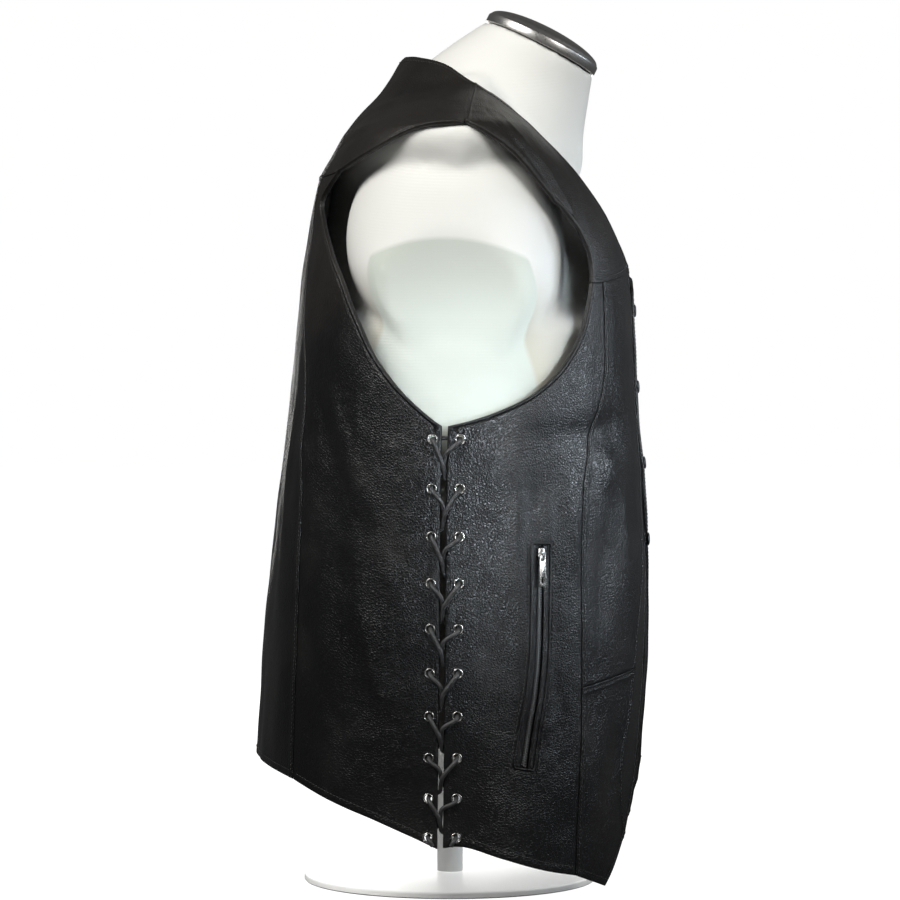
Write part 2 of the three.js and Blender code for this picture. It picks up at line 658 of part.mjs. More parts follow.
// A shoulder's rounded stump, cut by a flat arm plate that leans in toward its foot
const STUMP_SIDES = 24;
const STUMP_MIDDLE = 90;
const STUMP = table("z y deep reach power",
  [403, -19, 9, 70, 3], [418, -20, 25, 78, 3.5], [440, -21, 46, 84, 3.5], [465, -20, 65, 90, 3.5],
  [490, -18, 80, 94, 3.3], [515, -14, 87, 94, 3], [538, -12.5, 89.5, 91.5, 2.6], [562, -12.5, 88, 88.5, 2.3],
  [585, -14, 82, 83, 2.2], [605, -17, 74, 74, 2.1], [618, -22, 63, 62, 2], [628, -25, 42, 46, 2],
  [634, -27, 14, 24, 2]);
const armPlate = (z) => 162 + 0.13 * (z - 403);

function stumpGeometry(side) {
  return loft(STUMP.map(({ z, y, deep, reach, power }) => ringOf(STUMP_SIDES, (angle) => {
    const turn = THREE.MathUtils.degToRad(angle) * side;
    const x = STUMP_MIDDLE + reach * signedPower(Math.cos(turn), 2 / power);
    return new THREE.Vector3(
      side * Math.min(x, armPlate(z)), y + deep * signedPower(Math.sin(turn), 2 / power), z);
  })));
}

function capGeometry() {
  const profile = [[0, 0], [CAP_RADIUS - 0.8, 0], [CAP_RADIUS, 0.8], [CAP_RADIUS, 7], [CAP_RADIUS - 1.5, 8.4],
    [45, 11.6], [34, 15.2], [18, 18.1], [0, CAP_HEIGHT]];
  const tilt = THREE.MathUtils.degToRad(NECK.at(-1).tilt);
  const cap = new THREE.LatheGeometry(profile.map(([radius, rise]) => new THREE.Vector2(radius, rise)), 24);
  return cap.rotateX(Math.PI / 2)
    .translate(0, 0, SEAT_GAP)
    .rotateX(tilt)
    .translate(0, NECK.at(-1).y, NECK.at(-1).z);
}

function poleGeometry() {
  const low = BASE_HEIGHT + SEAT_GAP;
  const high = FORM_BOTTOM - SEAT_GAP;
  return new THREE.CylinderGeometry(POLE_RADIUS, POLE_RADIUS, high - low, 16)
    .rotateX(Math.PI / 2)
    .translate(0, 0, (low + high) / 2);
}

function baseGeometry() {
  const profile = [[0, 0], [BASE_RADIUS - 1, 0], [BASE_RADIUS, 1], [BASE_RADIUS, BASE_HEIGHT - 2],
    [BASE_RADIUS - 2, BASE_HEIGHT], [0, BASE_HEIGHT]];
  const base = new THREE.LatheGeometry(profile.map(([radius, rise]) => new THREE.Vector2(radius, rise)), 36);
  return base.rotateX(Math.PI / 2);
}

// A snap's low cap on the left band.
function snapGeometry(z) {
  const profile = [[0, 0], [SNAP_RADIUS - 0.4, 0], [SNAP_RADIUS, 0.5], [SNAP_RADIUS - 1, 1.3], [3, 1.7],
    [0, SNAP_RISE]];
  const cap = new THREE.LatheGeometry(profile.map(([radius, rise]) => new THREE.Vector2(radius, rise)), 10);
  const out = skinNormal(270, z);
  const turn = new THREE.Quaternion().setFromUnitVectors(new THREE.Vector3(0, 1, 0), out);
  const seat = offSkin(270, z, BAND_STEP + SEAT_GAP);
  return cap.applyQuaternion(turn).translate(seat.x, seat.y, seat.z);
}

const finish = (color, roughness, metalness) => new THREE.MeshStandardMaterial({ color, roughness, metalness });
const materials = {
  leather: finish("#1c1b1d", 0.5, 0),
  lace: finish("#2b2a2c", 0.6, 0),
  tape: finish("#101012", 0.9, 0),
  nickel: finish("#b9b9b6", 0.28, 1),
  enamel: finish("#17171a", 0.3, 0),
  cloth: finish("#dcd8cb", 0.9, 0),
  cap: finish("#a5a4a1", 0.35, 1),
  stand: finish("#e4e2dc", 0.5, 0.1),
};

const vest = new THREE.Group();

function add(name, geometry, material) {
  const mesh = new THREE.Mesh(geometry, materials[material]);
  mesh.name = name;
  vest.add(mesh);
}

function addPair(name, geometry, material) {
  add(`${name}_right`, geometry, material);
  add(`${name}_left`, mirrored(geometry), material);
}

add("back_yoke", panel(backYokeGrid), "leather");
add("back_centre", panel(backCentreGrid), "leather");
addPair("back_side", cutFrom(panel(backSideGrid), lacingHoles(EYELET_BACK)), "leather");
addPair("front_yoke", panel(frontYokeGrid), "leather");
addPair("front_upper", panel(frontUpperGrid), "leather");
addPair("front_lower", panel(frontLowerGrid), "leather");
addPair("front_side", cutFrom(panel(frontSideGrid), [zipWindow, ...lacingHoles(-EYELET_FRONT)]), "leather");

// The left band closes over the right one.
const bandColumns = bandGrid[0].length - 1;
const overRight = (column) => BAND_STEP * THREE.MathUtils.smoothstep(bandColumns - column, 0, 1);
add("front_band_right", panel(bandGrid), "leather");
add("front_band_left", mirrored(panel(bandGrid, overRight)), "leather");

addPair("welt_rear", welt(weltHalf, windowHalf - 0.3), "leather");
addPair("welt_front", welt(-windowHalf + 0.3, -weltHalf), "leather");
addPair("zip_tape", zipTape, "tape");
addPair("zip_slider", setOnZip(sliderGeometry(), 0, 0), "nickel");
addPair("zip_pull", setOnZip(pullGeometry(), PIVOT.along, PIVOT.out), "nickel");
addPair("side_lace", laceGeometry(), "lace");
SNAP_HEIGHTS.forEach((z, place) => add(`snap_${place + 1}`, snapGeometry(z), "enamel"));
add("form_torso", joined(torsoGeometry(), neckGeometry(), stumpGeometry(-1), stumpGeometry(1)), "cloth");
add("form_neck_cap", merged(capGeometry()), "cap");
add("stand_pole", merged(poleGeometry()), "stand");
add("stand_base", merged(baseGeometry()), "stand");

export default vest;
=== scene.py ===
"""A side-laced leather vest on a limbless dress form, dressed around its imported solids.

The shapes are worked out in millimetres, in the solids' own frame: +Z up, the front
looks along -Y and the wearer's right is -X. Every mesh is written in metres.
"""

import functools
import math

import bmesh
import bpy
import numpy as np
from mathutils import Matrix, Vector


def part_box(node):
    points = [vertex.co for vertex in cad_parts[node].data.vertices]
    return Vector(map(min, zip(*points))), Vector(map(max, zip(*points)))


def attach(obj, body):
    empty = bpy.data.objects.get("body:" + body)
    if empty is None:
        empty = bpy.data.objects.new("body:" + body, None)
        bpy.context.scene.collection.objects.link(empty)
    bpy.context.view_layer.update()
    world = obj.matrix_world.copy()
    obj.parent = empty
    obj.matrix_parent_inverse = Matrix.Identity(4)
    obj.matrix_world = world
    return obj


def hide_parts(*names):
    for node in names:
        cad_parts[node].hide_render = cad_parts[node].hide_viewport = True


bl_info = {
    "name": "Laced Leather Vest",
    "version": (1, 0, 0),
    "blender": (4, 5, 0),
    "location": "View3D > Sidebar > Vest",
    "description": "Dresses the packed vest in leather, lacing, zips and stitches",
    "category": "Object",
}

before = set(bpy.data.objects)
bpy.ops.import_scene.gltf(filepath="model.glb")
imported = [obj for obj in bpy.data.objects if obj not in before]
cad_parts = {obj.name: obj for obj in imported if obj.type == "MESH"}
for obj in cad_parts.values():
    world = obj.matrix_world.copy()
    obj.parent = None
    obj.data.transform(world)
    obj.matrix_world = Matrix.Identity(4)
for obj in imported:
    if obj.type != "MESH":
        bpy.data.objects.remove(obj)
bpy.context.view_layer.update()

MM = 0.001
SIDES = {"right": 1, "left": -1}

# Panels and their edges
MM_PER_DEGREE = 3.4
LEATHER = 2.0
TURNED = 3.2
TURN_WIDTH = 9.0
BINDING = 4.4
BINDING_RISE = 0.9
LAP_WIDTH = 7.0
LAP_RISE = 0.55
EDGE_STEPS = (0.0, 0.25, 0.7, 1.4, 2.3, 3.3, 4.2, 5.0, 6.2, 8.0, 10.5)

# How far from its edge each kind of stitch row lies
LAP_STITCH = 3.0
BINDING_STITCH = 5.2
HEM_STITCH = 6.0

# Shares of a side taken by the laced edge, and by the yoke's armhole
LACED_BACK = 10 / 19
LACED_FRONT = 10 / 18
YOKE_ARMHOLE = 6 / 11

# Side lacing
LACING_ROWS = 10
LACING_TOP = 376.5
LACING_PITCH = 39.6
LACING_PITCH_LOSS = 0.5
LACING_GAP = 4.4
EYELET_FRONT = 12.6
EYELET_BACK = 9.8

# Zip pocket
WINDOW_WIDTH = 18.0
WELT_GAP = 7.4
TAPE_WIDTH = 26.0
TOOTH_PITCH = 2.0
TOOTH_SECTIONS = ((-0.5, 0.4), (0.35, 0.62), (1.5, 0.5), (1.9, 0.45))
TOOTH_FOOT = -2.55
TOOTH_TOP = -1.15
SLIDER_PLACE = 0.945

# Front closing
BAND_STEP = 2.4
SNAP_RADIUS = 5.5
SNAP_RISE = 1.8
SNAP_HEIGHTS = (487, 422, 357, 292)
SEAT_GAP = 0.3

# Dress form
FORM_BOTTOM = 124
FORM_TOP = 686
FORM_SIDES = 96
NECK_SIDES = 64

# Camera
CAMERA_DISTANCE = 2.6
CAMERA_HEIGHT = 0.368
CAMERA_AZIMUTH = -85.0
CAMERA_LENS = 120.9
SENSOR = 36.0
WARM_WHITE = (1.0, 0.985, 0.955)
COOL_WHITE = (0.80, 0.90, 1.0)

# The studio lights: name, the setting with its power, size, azimuth and elevation in degrees,
# distance, the height that it is aimed at, spread in degrees and colour
LIGHTS = (
    ("side_light", "side", 0.8, -122, 35, 2.2, 0.45, 180, WARM_WHITE),
    ("rear_light", "rear", 0.8, -145, 35, 2.2, 0.45, 180, WARM_WHITE),
    ("front_light", "front", 0.8, -45, 20, 2.2, 0.45, 180, WARM_WHITE),
    ("left_light", "left", 0.8, 100, 4, 2.2, 0.45, 180, WARM_WHITE),
    ("lacing_light", "lacing", 0.25, -70, 4, 1.3, 0.34, 15, COOL_WHITE),
    ("pocket_light", "pocket", 0.4, -20, 12, 1.5, 0.36, 26, COOL_WHITE),
    ("chest_light", "chest", 0.4, 8, 12, 1.5, 0.36, 26, COOL_WHITE),
)


def table(columns, *rows):
    """A short table as one array for each named column."""
    return {name: np.array(values, float) for name, values in zip(columns.split(), zip(*rows))}


# The vest's outer skin, ring by ring, as in the solids
RINGS = table(
    "z width side front back front_power back_power",
    (0, 204, -10, -160, 168, 2.0, 2.3),
    (100, 205, -10, -166, 163.5, 2.0, 2.3),
    (240, 206, -10.5, -168, 153, 2.1, 2.3),
    (340, 206, -12, -165, 143.5, 2.2, 2.3),
    (410, 205, -14, -159, 135.5, 2.3, 2.3),
    (480, 202, -16, -156, 128.5, 2.3, 2.3),
    (522, 199, -17, -153, 123.5, 2.3, 2.3),
    (560, 196, -19, -140, 117.5, 2.3, 2.3),
    (596, 193, -22, -118, 109.5, 2.3, 2.3),
    (615, 190, -25, -102, 99, 2.3, 2.3),
    (629, 184, -28, -89, 91, 2.2, 2.3),
    (640, 160, -28, -79, 85, 2.2, 2.2),
    (652, 132, -28, -67, 77, 2.2, 2.2),
    (672, 85, -28, -56, 61, 2.2, 2.2),
    (687, 66, -27, -50, 51, 2.2, 2.2),
    (701, 41, -25, -40, 43, 2.2, 2.2),
    (710, 22, -20, -30, 33, 2.2, 2.2),
)

# The largest folds, as in the solids: spread in degrees, run in millimetres, lean in
# degrees a millimetre and lift in millimetres
FOLDS = table(
    "angle z spread run lean lift",
    (-62, 386, 13, 17, 0.0, -4.0),
    (-50, 336, 7, 42, 0.02, 2.4),
    (-30, 330, 6, 55, -0.02, -2.2),
    (-17, 290, 7, 95, 0.01, 2.0),
    (-70, 240, 9, 70, 0.03, 2.2),
    (30, 330, 8, 120, 0.03, -2.4),
    (50, 250, 9, 130, -0.02, 2.6),
    (70, 420, 9, 90, 0.02, -2.6),
    (82, 210, 7, 80, -0.02, 2.4),
    (64, 545, 12, 18, 0.0, -2.4),
)

# Softer creases that the leather has between the folds. A side of 1 is on the wearer's
# right, -1 on the left and 0 on both.
CREASES = table(
    "side angle z spread run lean lift",
    (0, -44, 379, 15, 13, 0.0, -1.8),
    (0, -21, 312, 1.7, 24, -0.03, 1.3),
    (0, -30.6, 318, 1.5, 21, 0.01, 1.5),
    (0, -40, 306, 1.6, 26, 0.03, 1.3),
    (1, -25.5, 322, 1.7, 26, -0.01, -0.9),
    (1, -15, 349, 4.2, 17, 0.0, 1.2),
    (0, -56, 352, 6, 17, 0.0, 1.6),
    (0, -64, 310, 4.4, 40, 0.05, 1.2),
    (0, -52, 262, 3.6, 50, -0.03, -1.2),
    (0, -22, 232, 3.0, 46, 0.05, 1.0),
    (1, -12, 290, 2.4, 30, -0.06, -0.8),
    (1, -34, 190, 2.8, 60, 0.03, -1.0),
    (-1, -28, 200, 3.0, 52, -0.04, -1.0),
    (0, -45, 130, 3.2, 44, 0.06, 0.9),
    (0, -60, 120, 3.0, 34, -0.05, -0.8),
    (0, -38, 66, 4.0, 20, 0.03, -0.9),
    (1, 18, 214, 2.4, 38, 0.09, 1.1),
    (1, 27, 150, 2.2, 30, 0.12, -1.0),
    (1, 11, 262, 1.9, 26, 0.10, 1.0),
    (1, 20, 300, 2.0, 30, 0.12, -0.8),
    (-1, 20, 260, 2.8, 54, -0.08, 1.0),
    (0, 30, 372, 2.6, 30, 0.16, 1.3),
    (0, 40, 392, 2.4, 34, 0.16, -1.2),
    (0, 47, 360, 2.6, 30, 0.12, 1.0),
    (0, 38, 190, 2.4, 60, 0.05, -0.9),
    (1, 60, 340, 3.0, 66, 0.02, 1.0),
    (-1, 56, 320, 3.0, 60, -0.03, 1.0),
    (0, 76, 300, 3.4, 90, -0.02, -1.0),
    (0, 88, 440, 3.0, 70, 0.01, 0.9),
    (0, 70, 150, 3.0, 50, 0.03, -0.9),
)

# Long ridges and furrows, each along its own (y, z) points on the right side
RIDGES = (
    {"lift": 2.2, "half_width": 2.6,
     "line": ((-50, 647), (-70, 622), (-90, 599), (-102, 579), (-112, 558), (-120, 541))},
    {"lift": -1.5, "half_width": 4.0,
     "line": ((-42, 645), (-62, 621), (-81, 600), (-95, 579), (-106, 556))},
    {"lift": 1.6, "half_width": 5.0, "line": ((70, 629), (48, 637), (24, 641), (-6, 645))},
    {"lift": -1.4, "half_width": 4.4, "line": ((84, 618), (58, 628), (30, 633), (4, 637))},
    {"lift": 1.3, "half_width": 3.6, "line": ((60, 651), (36, 660), (10, 663))},
    {"lift": -1.1, "half_width": 3.2, "line": ((72, 640), (50, 650), (24, 655))},
)
RIPPLE = 0.45
CREASE_DEPTH = 1.6

CREASES_BY_SIDE = {
    side: {name: values[CREASES["side"] == side] for name, values in CREASES.items()} for side in (0, 1, -1)}


def smooth_column(heights, values):
    """A curve through one column of a table that never overshoots its rows."""
    slopes = np.diff(values) / np.diff(heights)
    before = np.concatenate((slopes[:1], slopes))
    after = np.concatenate((slopes, slopes[-1:]))
    total = np.where(before + after == 0, 1, before + after)
    tangents = np.where(before * after > 0, 2 * before * after / total, 0)

    def curve(z):
        z = np.asarray(z, float)
        place = np.clip(np.searchsorted(heights, z, side="right") - 1, 0, len(heights) - 2)
        span = heights[place + 1] - heights[place]
        t = np.clip((z - heights[place]) / span, 0, 1)
        rise = (values[place + 1] - values[place]) * t * t * (3 - 2 * t)
        leave = t * (1 - t) ** 2 * span * tangents[place]
        arrive = t * t * (t - 1) * span * tangents[place + 1]
        return values[place] + rise + leave + arrive

    return curve


RING_CURVES = {name: smooth_column(RINGS["z"], values) for name, values in RINGS.items() if name != "z"}


def smoothstep(value, low, high):
    t = np.clip((value - low) / (high - low), 0, 1)
    return t * t * (3 - 2 * t)


def signed_power(value, power):
    return np.sign(value) * np.abs(value) ** power


def unit(vectors):
    length = np.linalg.norm(vectors, axis=-1, keepdims=True)
    return vectors / np.where(length == 0, 1, length)


def fold_columns(rows):
    """A table's columns, shaped to meet any net of points."""
    names = ("angle", "z", "spread", "run", "lean", "lift")
    return [rows[name][:, None] for name in names]


def gaussian_lift(rows, right, z):
    """The lift of a table of folds, each a soft ellipse on the skin."""
    middle, height, spread, run, lean, amount = fold_columns(rows)
    across = (right - middle - lean * (z - height)) / spread
    return (amount * np.exp(-across ** 2 - ((z - height) / run) ** 2)).sum(0)


def ridge_lift(right, z):
    """The lift of the long ridges, which fade at both ends."""
    lift = np.zeros(z.shape)
    for (along, height), ridge in zip(RIDGE_LINES, RIDGES):
        reach = 4 * ridge["half_width"]
        near = (z > height.min() - reach) & (z < height.max() + reach) & (right < 90) & (right > -90)
        if not near.any():
            continue
        share = np.linspace(-1, 1, len(along))[:, None]
        spread = np.hypot(right[near] * MM_PER_DEGREE - along[:, None], z[near] - height[:, None])
        nearest = (spread / ridge["half_width"] * (1 + 1.6 * np.abs(share) ** 3)).min(0)
        lift[near] += ridge["lift"] * np.exp(-nearest ** 2)
    return lift


def fold_lift(angle, z, side):
    """The lift of the folds and creases. The left side has the right's largest ones."""
    shape = angle.shape
    angle, z = angle.ravel(), z.ravel()
    right = np.where(angle > 90, 180 - angle, angle)
    own = np.where(angle > 90, -side, side)
    lift = gaussian_lift(FOLDS, right, z) + ridge_lift(right, z)
    for keep, rows in CREASES_BY_SIDE.items():
        lift = lift + CREASE_DEPTH * gaussian_lift(rows, right, z) * ((own == keep) | (keep == 0))
    slow = np.sin(right * 0.21 + 0.017 * z + own) * np.sin(0.043 * z - 0.11 * right)
    quick = np.sin(right * 0.37 - 0.051 * z + 2 * own) * np.sin(0.083 * z + 0.16 * right)
    return (lift + RIPPLE * (slow + 0.6 * quick)).reshape(shape)


def skin_point(angle, z, side=1, folds=True):
    """A point of the skin. The angle is 0 at the wearer's right side and 90 at the middle
    of the back, 180 at the left side and -90 or 270 at the middle of the front."""
    angle, z = np.broadcast_arrays(np.asarray(angle, float), np.asarray(z, float))
    ring = {name: curve(z) for name, curve in RING_CURVES.items()}
    across = np.cos(np.radians(angle))
    along = np.sin(np.radians(angle))
    reach = np.where(along > 0, ring["back"] - ring["side"], ring["side"] - ring["front"])
    power = 2 / np.where(along > 0, ring["back_power"], ring["front_power"])
    x = -ring["width"] * signed_power(across, power)
    y = reach * signed_power(along, power)
    outward = unit(np.stack((x / ring["width"] ** 2, y / reach ** 2), -1))
    lift = fold_lift(angle, z, side) if folds else np.zeros(angle.shape)
    return np.stack((x + outward[..., 0] * lift, ring["side"] + y + outward[..., 1] * lift, z), -1)


def skin_normal(angle, z, side=1, folds=True):
    around = skin_point(angle + 0.5, z, side, folds) - skin_point(angle - 0.5, z, side, folds)
    upward = skin_point(angle, z + 1, side, folds) - skin_point(angle, z - 1, side, folds)
    return unit(np.cross(upward, around))


def off_skin(angle, z, out, side=1):
    out = np.asarray(out, float)[..., None]
    return skin_point(angle, z, side) + skin_normal(angle, z, side) * out


def at_x(x, z, is_back=False):
    """Where the skin at height z meets a given x, as an (angle, z) pair."""
    power = float(RING_CURVES["back_power" if is_back else "front_power"](z)) / 2
    across = signed_power(-x / float(RING_CURVES["width"](z)), power)
    turn = math.degrees(math.acos(max(-1.0, min(1.0, float(across)))))
    return (turn if is_back else -turn, z)


def at_y(y, z):
    """Where the skin at height z meets a given y, as an (angle, z) pair."""
    side = RING_CURVES["side"](z)
    is_back = y > side
    reach = np.where(is_back, RING_CURVES["back"](z) - side, side - RING_CURVES["front"](z))
    power = np.where(is_back, RING_CURVES["back_power"](z), RING_CURVES["front_power"](z)) / 2
    along = signed_power((y - side) / reach, power)
    turn = np.degrees(np.arcsin(np.clip(along, -1, 1)))
    return (float(turn) if np.ndim(turn) == 0 else turn, z)


def smooth_line(points, steps):
    """A centripetal curve through points, cut into equal steps."""
    points = np.asarray(points, float)
    ends = (2 * points[0] - points[1], 2 * points[-1] - points[-2])
    knots = np.vstack((ends[0], points, ends[1]))
    gaps = np.sqrt(np.linalg.norm(np.diff(knots, axis=0), axis=1))
    t = np.linspace(0, 1, 25)[:, None]
    pieces = []
    for place in range(len(points) - 1):
        a, b, c, d = knots[place:place + 4]
        first, middle, last = gaps[place:place + 3]
        leave = middle * ((b - a) / first - (c - a) / (first + middle) + (c - b) / middle)
        arrive = middle * ((c - b) / middle - (d - b) / (middle + last) + (d - c) / last)
        cubic = b + leave * t + (3 * (c - b) - 2 * leave - arrive) * t ** 2
        pieces.append(cubic + (2 * (b - c) + leave + arrive) * t ** 3)
    dense = np.vstack([piece[:-1] for piece in pieces] + [points[-1:]])
    length = np.concatenate(([0], np.cumsum(np.linalg.norm(np.diff(dense, axis=0), axis=1))))
    wanted = np.linspace(0, length[-1], steps + 1)
    return np.stack([np.interp(wanted, length, dense[:, k]) for k in range(dense.shape[1])], -1)


RIDGE_LINES = [
    smooth_line([(at_y(*point)[0] * MM_PER_DEGREE, point[1]) for point in ridge["line"]], 48).T
    for ridge in RIDGES]


class Edge:
    """One side of a panel: seams joined end to end. Each takes a share of the side."""

    samples = 80

    def __init__(self, *seams):
        shares = np.array([share for _, share in seams], float)
        ends = np.concatenate(([0], np.cumsum(shares))) / shares.sum()
        along, places = [], []
        for index, (points, _) in enumerate(seams):
            flat = np.array(points, float) * (MM_PER_DEGREE, 1)
            places.append(smooth_line(flat, self.samples) / (MM_PER_DEGREE, 1))
            along.append(np.linspace(ends[index], ends[index + 1], self.samples + 1))
        self.along = np.concatenate(along)
        self.places = np.vstack(places)
        self.joints = tuple(ends[1:-1])

    def at(self, along):
        """(angle, z) at a share of the way along the side."""
        return np.stack([np.interp(along, self.along, self.places[:, k]) for k in (0, 1)], -1)

    @classmethod
    def of(cls, along, places, joints):
        edge = cls.__new__(cls)
        edge.along = along
        edge.places = places
        edge.joints = tuple(joints)
        return edge

    def reversed(self):
        joints = [1 - joint for joint in self.joints[::-1]]
        return Edge.of(1 - self.along[::-1], self.places[::-1], joints)

    def mirrored(self):
        """The same edge on the other side of the back."""
        return Edge.of(self.along, self.places * (-1, 1) + (180, 0), self.joints)

    def doubled(self):
        """This edge and its mirror image beyond the middle of the back."""
        far = self.mirrored().reversed()
        along = np.concatenate((self.along / 2, 0.5 + far.along / 2))
        joints = [joint / 2 for joint in self.joints] + [0.5 + joint / 2 for joint in far.joints]
        return Edge.of(along, np.vstack((self.places, far.places)), joints)


def gap_middle(z):
    return -10 - 0.012 * max(z - 60, 0)


def front_laced(z):
    return at_y(gap_middle(z) - LACING_GAP / 2, z)


def back_laced(z):
    return at_y(gap_middle(z) + LACING_GAP / 2, z)


# Corners of the pattern on the wearer's right half
FRONT_POINT = at_x(-109.5, 10.5)
BAND_CORNER = at_x(-58, 98)
BAND_FOOT = at_x(-76, 50)
BAND_SLANT = at_x(-67.5, 187)
BAND_TOP = at_x(-20, 521)
BAND_TIP = at_x(10, 504)
FRONT_SEAM_FOOT = at_x(-147.5, 24)
FRONT_SEAM_SLANT = at_x(-149.6, 176)
FRONT_SEAM_TOP = at_x(-115.4, 505)
FRONT_YOKE_CORNER = at_y(-127.9, 503.6)
FRONT_UNDERARM = front_laced(387)
FRONT_LACED_FOOT = front_laced(52.5)
BACK_UNDERARM = back_laced(387)
BACK_LACED_FOOT = back_laced(51.5)
BACK_SEAM_FOOT = at_x(-156, 101, True)
BACK_SEAM_TOP = at_x(-98, 594.5, True)
BACK_YOKE_CORNER = at_y(79, 595.1)
SHOULDER_TIP = at_y(-28, 631.5)
NECK_POINT = at_y(-28, 674)
FRONT_EDGE_SLANT = at_x(-32, 187)

# Seams and edges, each with the share that it takes of its side
FRONT_SEAM_LOW = ([FRONT_SEAM_FOOT, at_x(-148, 94), FRONT_SEAM_SLANT], 5)
FRONT_SEAM_HIGH = (
    [FRONT_SEAM_SLANT, at_x(-152.4, 230), at_x(-154.3, 287), at_x(-153, 345), at_x(-146, 375),
     at_x(-131, 404), at_x(-121.4, 429), at_x(-117, 479), FRONT_SEAM_TOP], 13)
SLANT_SEAM = ([BAND_SLANT, FRONT_SEAM_SLANT], 4)
BAND_LINE_LOW = ([BAND_FOOT, at_x(-86, 80), at_x(-88, 112), at_x(-75.6, 152), BAND_SLANT], 5)
BAND_LINE_HIGH = (
    [BAND_SLANT, at_x(-60, 226), at_x(-45, 255), at_x(-28, 300), at_x(-21, 350), at_x(-20, 430),
     BAND_TOP], 13)
FRONT_EDGE_LOW = ([BAND_CORNER, at_x(-53, 112), at_x(-41, 152), FRONT_EDGE_SLANT], 5)
FRONT_EDGE_HIGH = (
    [FRONT_EDGE_SLANT, at_x(-22, 226), at_x(-10, 255), at_x(4, 300), at_x(9, 350), at_x(10, 400),
     BAND_TIP], 13)
BAND_TOP_EDGE = ([BAND_TIP, BAND_TOP], 4)
BAND_FOOT_EDGE = ([BAND_CORNER, at_x(-64, 84), at_x(-69, 66), BAND_FOOT], 4)
CUTAWAY = ([BAND_FOOT, at_x(-91, 29.6), FRONT_POINT], 2)
FRONT_HEM_SHORT = ([FRONT_POINT, FRONT_SEAM_FOOT], 2)
FRONT_HEM = (
    [FRONT_SEAM_FOOT, at_y(-91.4, 31), at_y(-60, 42.2), at_y(-28, 53.2), FRONT_LACED_FOOT], 6)
FRONT_YOKE_SEAM = ([BAND_TOP, at_x(-70, 512), FRONT_SEAM_TOP], 4)
FRONT_YOKE_BIT = ([FRONT_SEAM_TOP, FRONT_YOKE_CORNER], 1)
FRONT_LACED_EDGE = ([FRONT_LACED_FOOT, front_laced(220), FRONT_UNDERARM], 10)
ARMHOLE_FRONT = (
    [FRONT_UNDERARM, at_y(-36.9, 392.1), at_y(-60.4, 400.5), at_y(-83.5, 412.6), at_y(-101.9, 429.6),
     at_y(-113.3, 446.8), at_y(-121.2, 466.5), at_y(-125.7, 486.3), FRONT_YOKE_CORNER], 8)
ARMHOLE_FRONT_TOP = (
    [FRONT_YOKE_CORNER, at_y(-127.1, 520.8), at_y(-121.8, 537.7), at_y(-110.1, 556.6),
     at_y(-96.2, 572.7), at_y(-82.2, 588.9), at_y(-68.2, 605.1), at_y(-52, 617.6), SHOULDER_TIP], 11)
VEE_EDGE = (
    [BAND_TOP, at_x(-35, 545), at_x(-51, 573), at_x(-66, 597), at_x(-79, 625), at_x(-87, 648),
     NECK_POINT], 11)
SHOULDER_SEAM = ([SHOULDER_TIP, NECK_POINT], 5)
BACK_LACED_EDGE = ([BACK_LACED_FOOT, back_laced(220), BACK_UNDERARM], 10)
ARMHOLE_BACK = (
    [BACK_UNDERARM, at_y(6, 400.5), at_y(25.6, 419.7), at_y(45.7, 446.2), at_y(61.6, 478),
     at_y(72.9, 505.2), at_y(85.1, 530.7), at_y(94, 554.4), at_y(97, 572.8), BACK_YOKE_CORNER], 9)
ARMHOLE_BACK_TOP = (
    [BACK_YOKE_CORNER, at_y(59.4, 605.3), at_y(40.9, 613.6), at_y(18.1, 624.5), at_y(-1.4, 629.5),
     SHOULDER_TIP], 6)
BACK_HEM = (
    [BACK_LACED_FOOT, at_y(8.4, 58.7), at_y(45, 73.5), at_y(83, 87.3), BACK_SEAM_FOOT], 6)
BACK_SEAM = (
    [BACK_SEAM_FOOT, at_x(-154.5, 200, True), at_x(-152, 283, True), at_x(-147, 345, True),
     at_x(-135, 421, True), at_x(-122, 458, True), at_x(-107, 494, True), at_x(-95, 530, True),
     at_x(-93, 565, True), BACK_SEAM_TOP], 19)
BACK_YOKE_BIT = ([BACK_YOKE_CORNER, BACK_SEAM_TOP], 2)
BACK_YOKE_HALF = ([BACK_SEAM_TOP, (90, 596)], 6)
CENTRE_HEM_HALF = (
    [BACK_SEAM_FOOT, at_x(-125, 106.6, True), at_x(-80, 110.5, True), (90, 111)], 6)
NECK_HALF = ([NECK_POINT, at_y(-2.2, 692.6), at_y(23.2, 702.6), (90, 706.5)], 8)


def bead(distance, width):
    """A half-round rise between an edge and a distance from it."""
    return np.sqrt(np.clip(1 - ((distance - width / 2) / (width / 2)) ** 2, 0, 1))


def dip(distance, middle, spread):
    return np.exp(-((distance - middle) / spread) ** 2)


# How each kind of edge lifts the leather and how thick it is, by the distance from it
EDGE_KINDS = {
    "turned": lambda d: (0.3 * (1 - smoothstep(d, TURN_WIDTH - 3, TURN_WIDTH)) - 0.25 * dip(d, 6, 0.9),
                         LEATHER + (TURNED - LEATHER) * (1 - smoothstep(d, TURN_WIDTH - 2, TURN_WIDTH))),
    "bound": lambda d: (BINDING_RISE * bead(d, BINDING) - 0.5 * dip(d, BINDING + 0.3, 0.6),
                        LEATHER + 1.8 * (1 - smoothstep(d, BINDING, BINDING + 2))),
    "over": lambda d: (LAP_RISE * (1 - smoothstep(d, LAP_WIDTH - 2, LAP_WIDTH)) - 0.3 * dip(d, 3, 0.9),
                       LEATHER + 0 * d),
    "under": lambda d: (-0.3 * (1 - smoothstep(d, 0.3, 2)), LEATHER + 0 * d),
}

# The radius that rounds off each kind of edge
EDGE_RADII = {"turned": 1.1, "bound": 1.3, "over": 0.55, "under": 0.2}


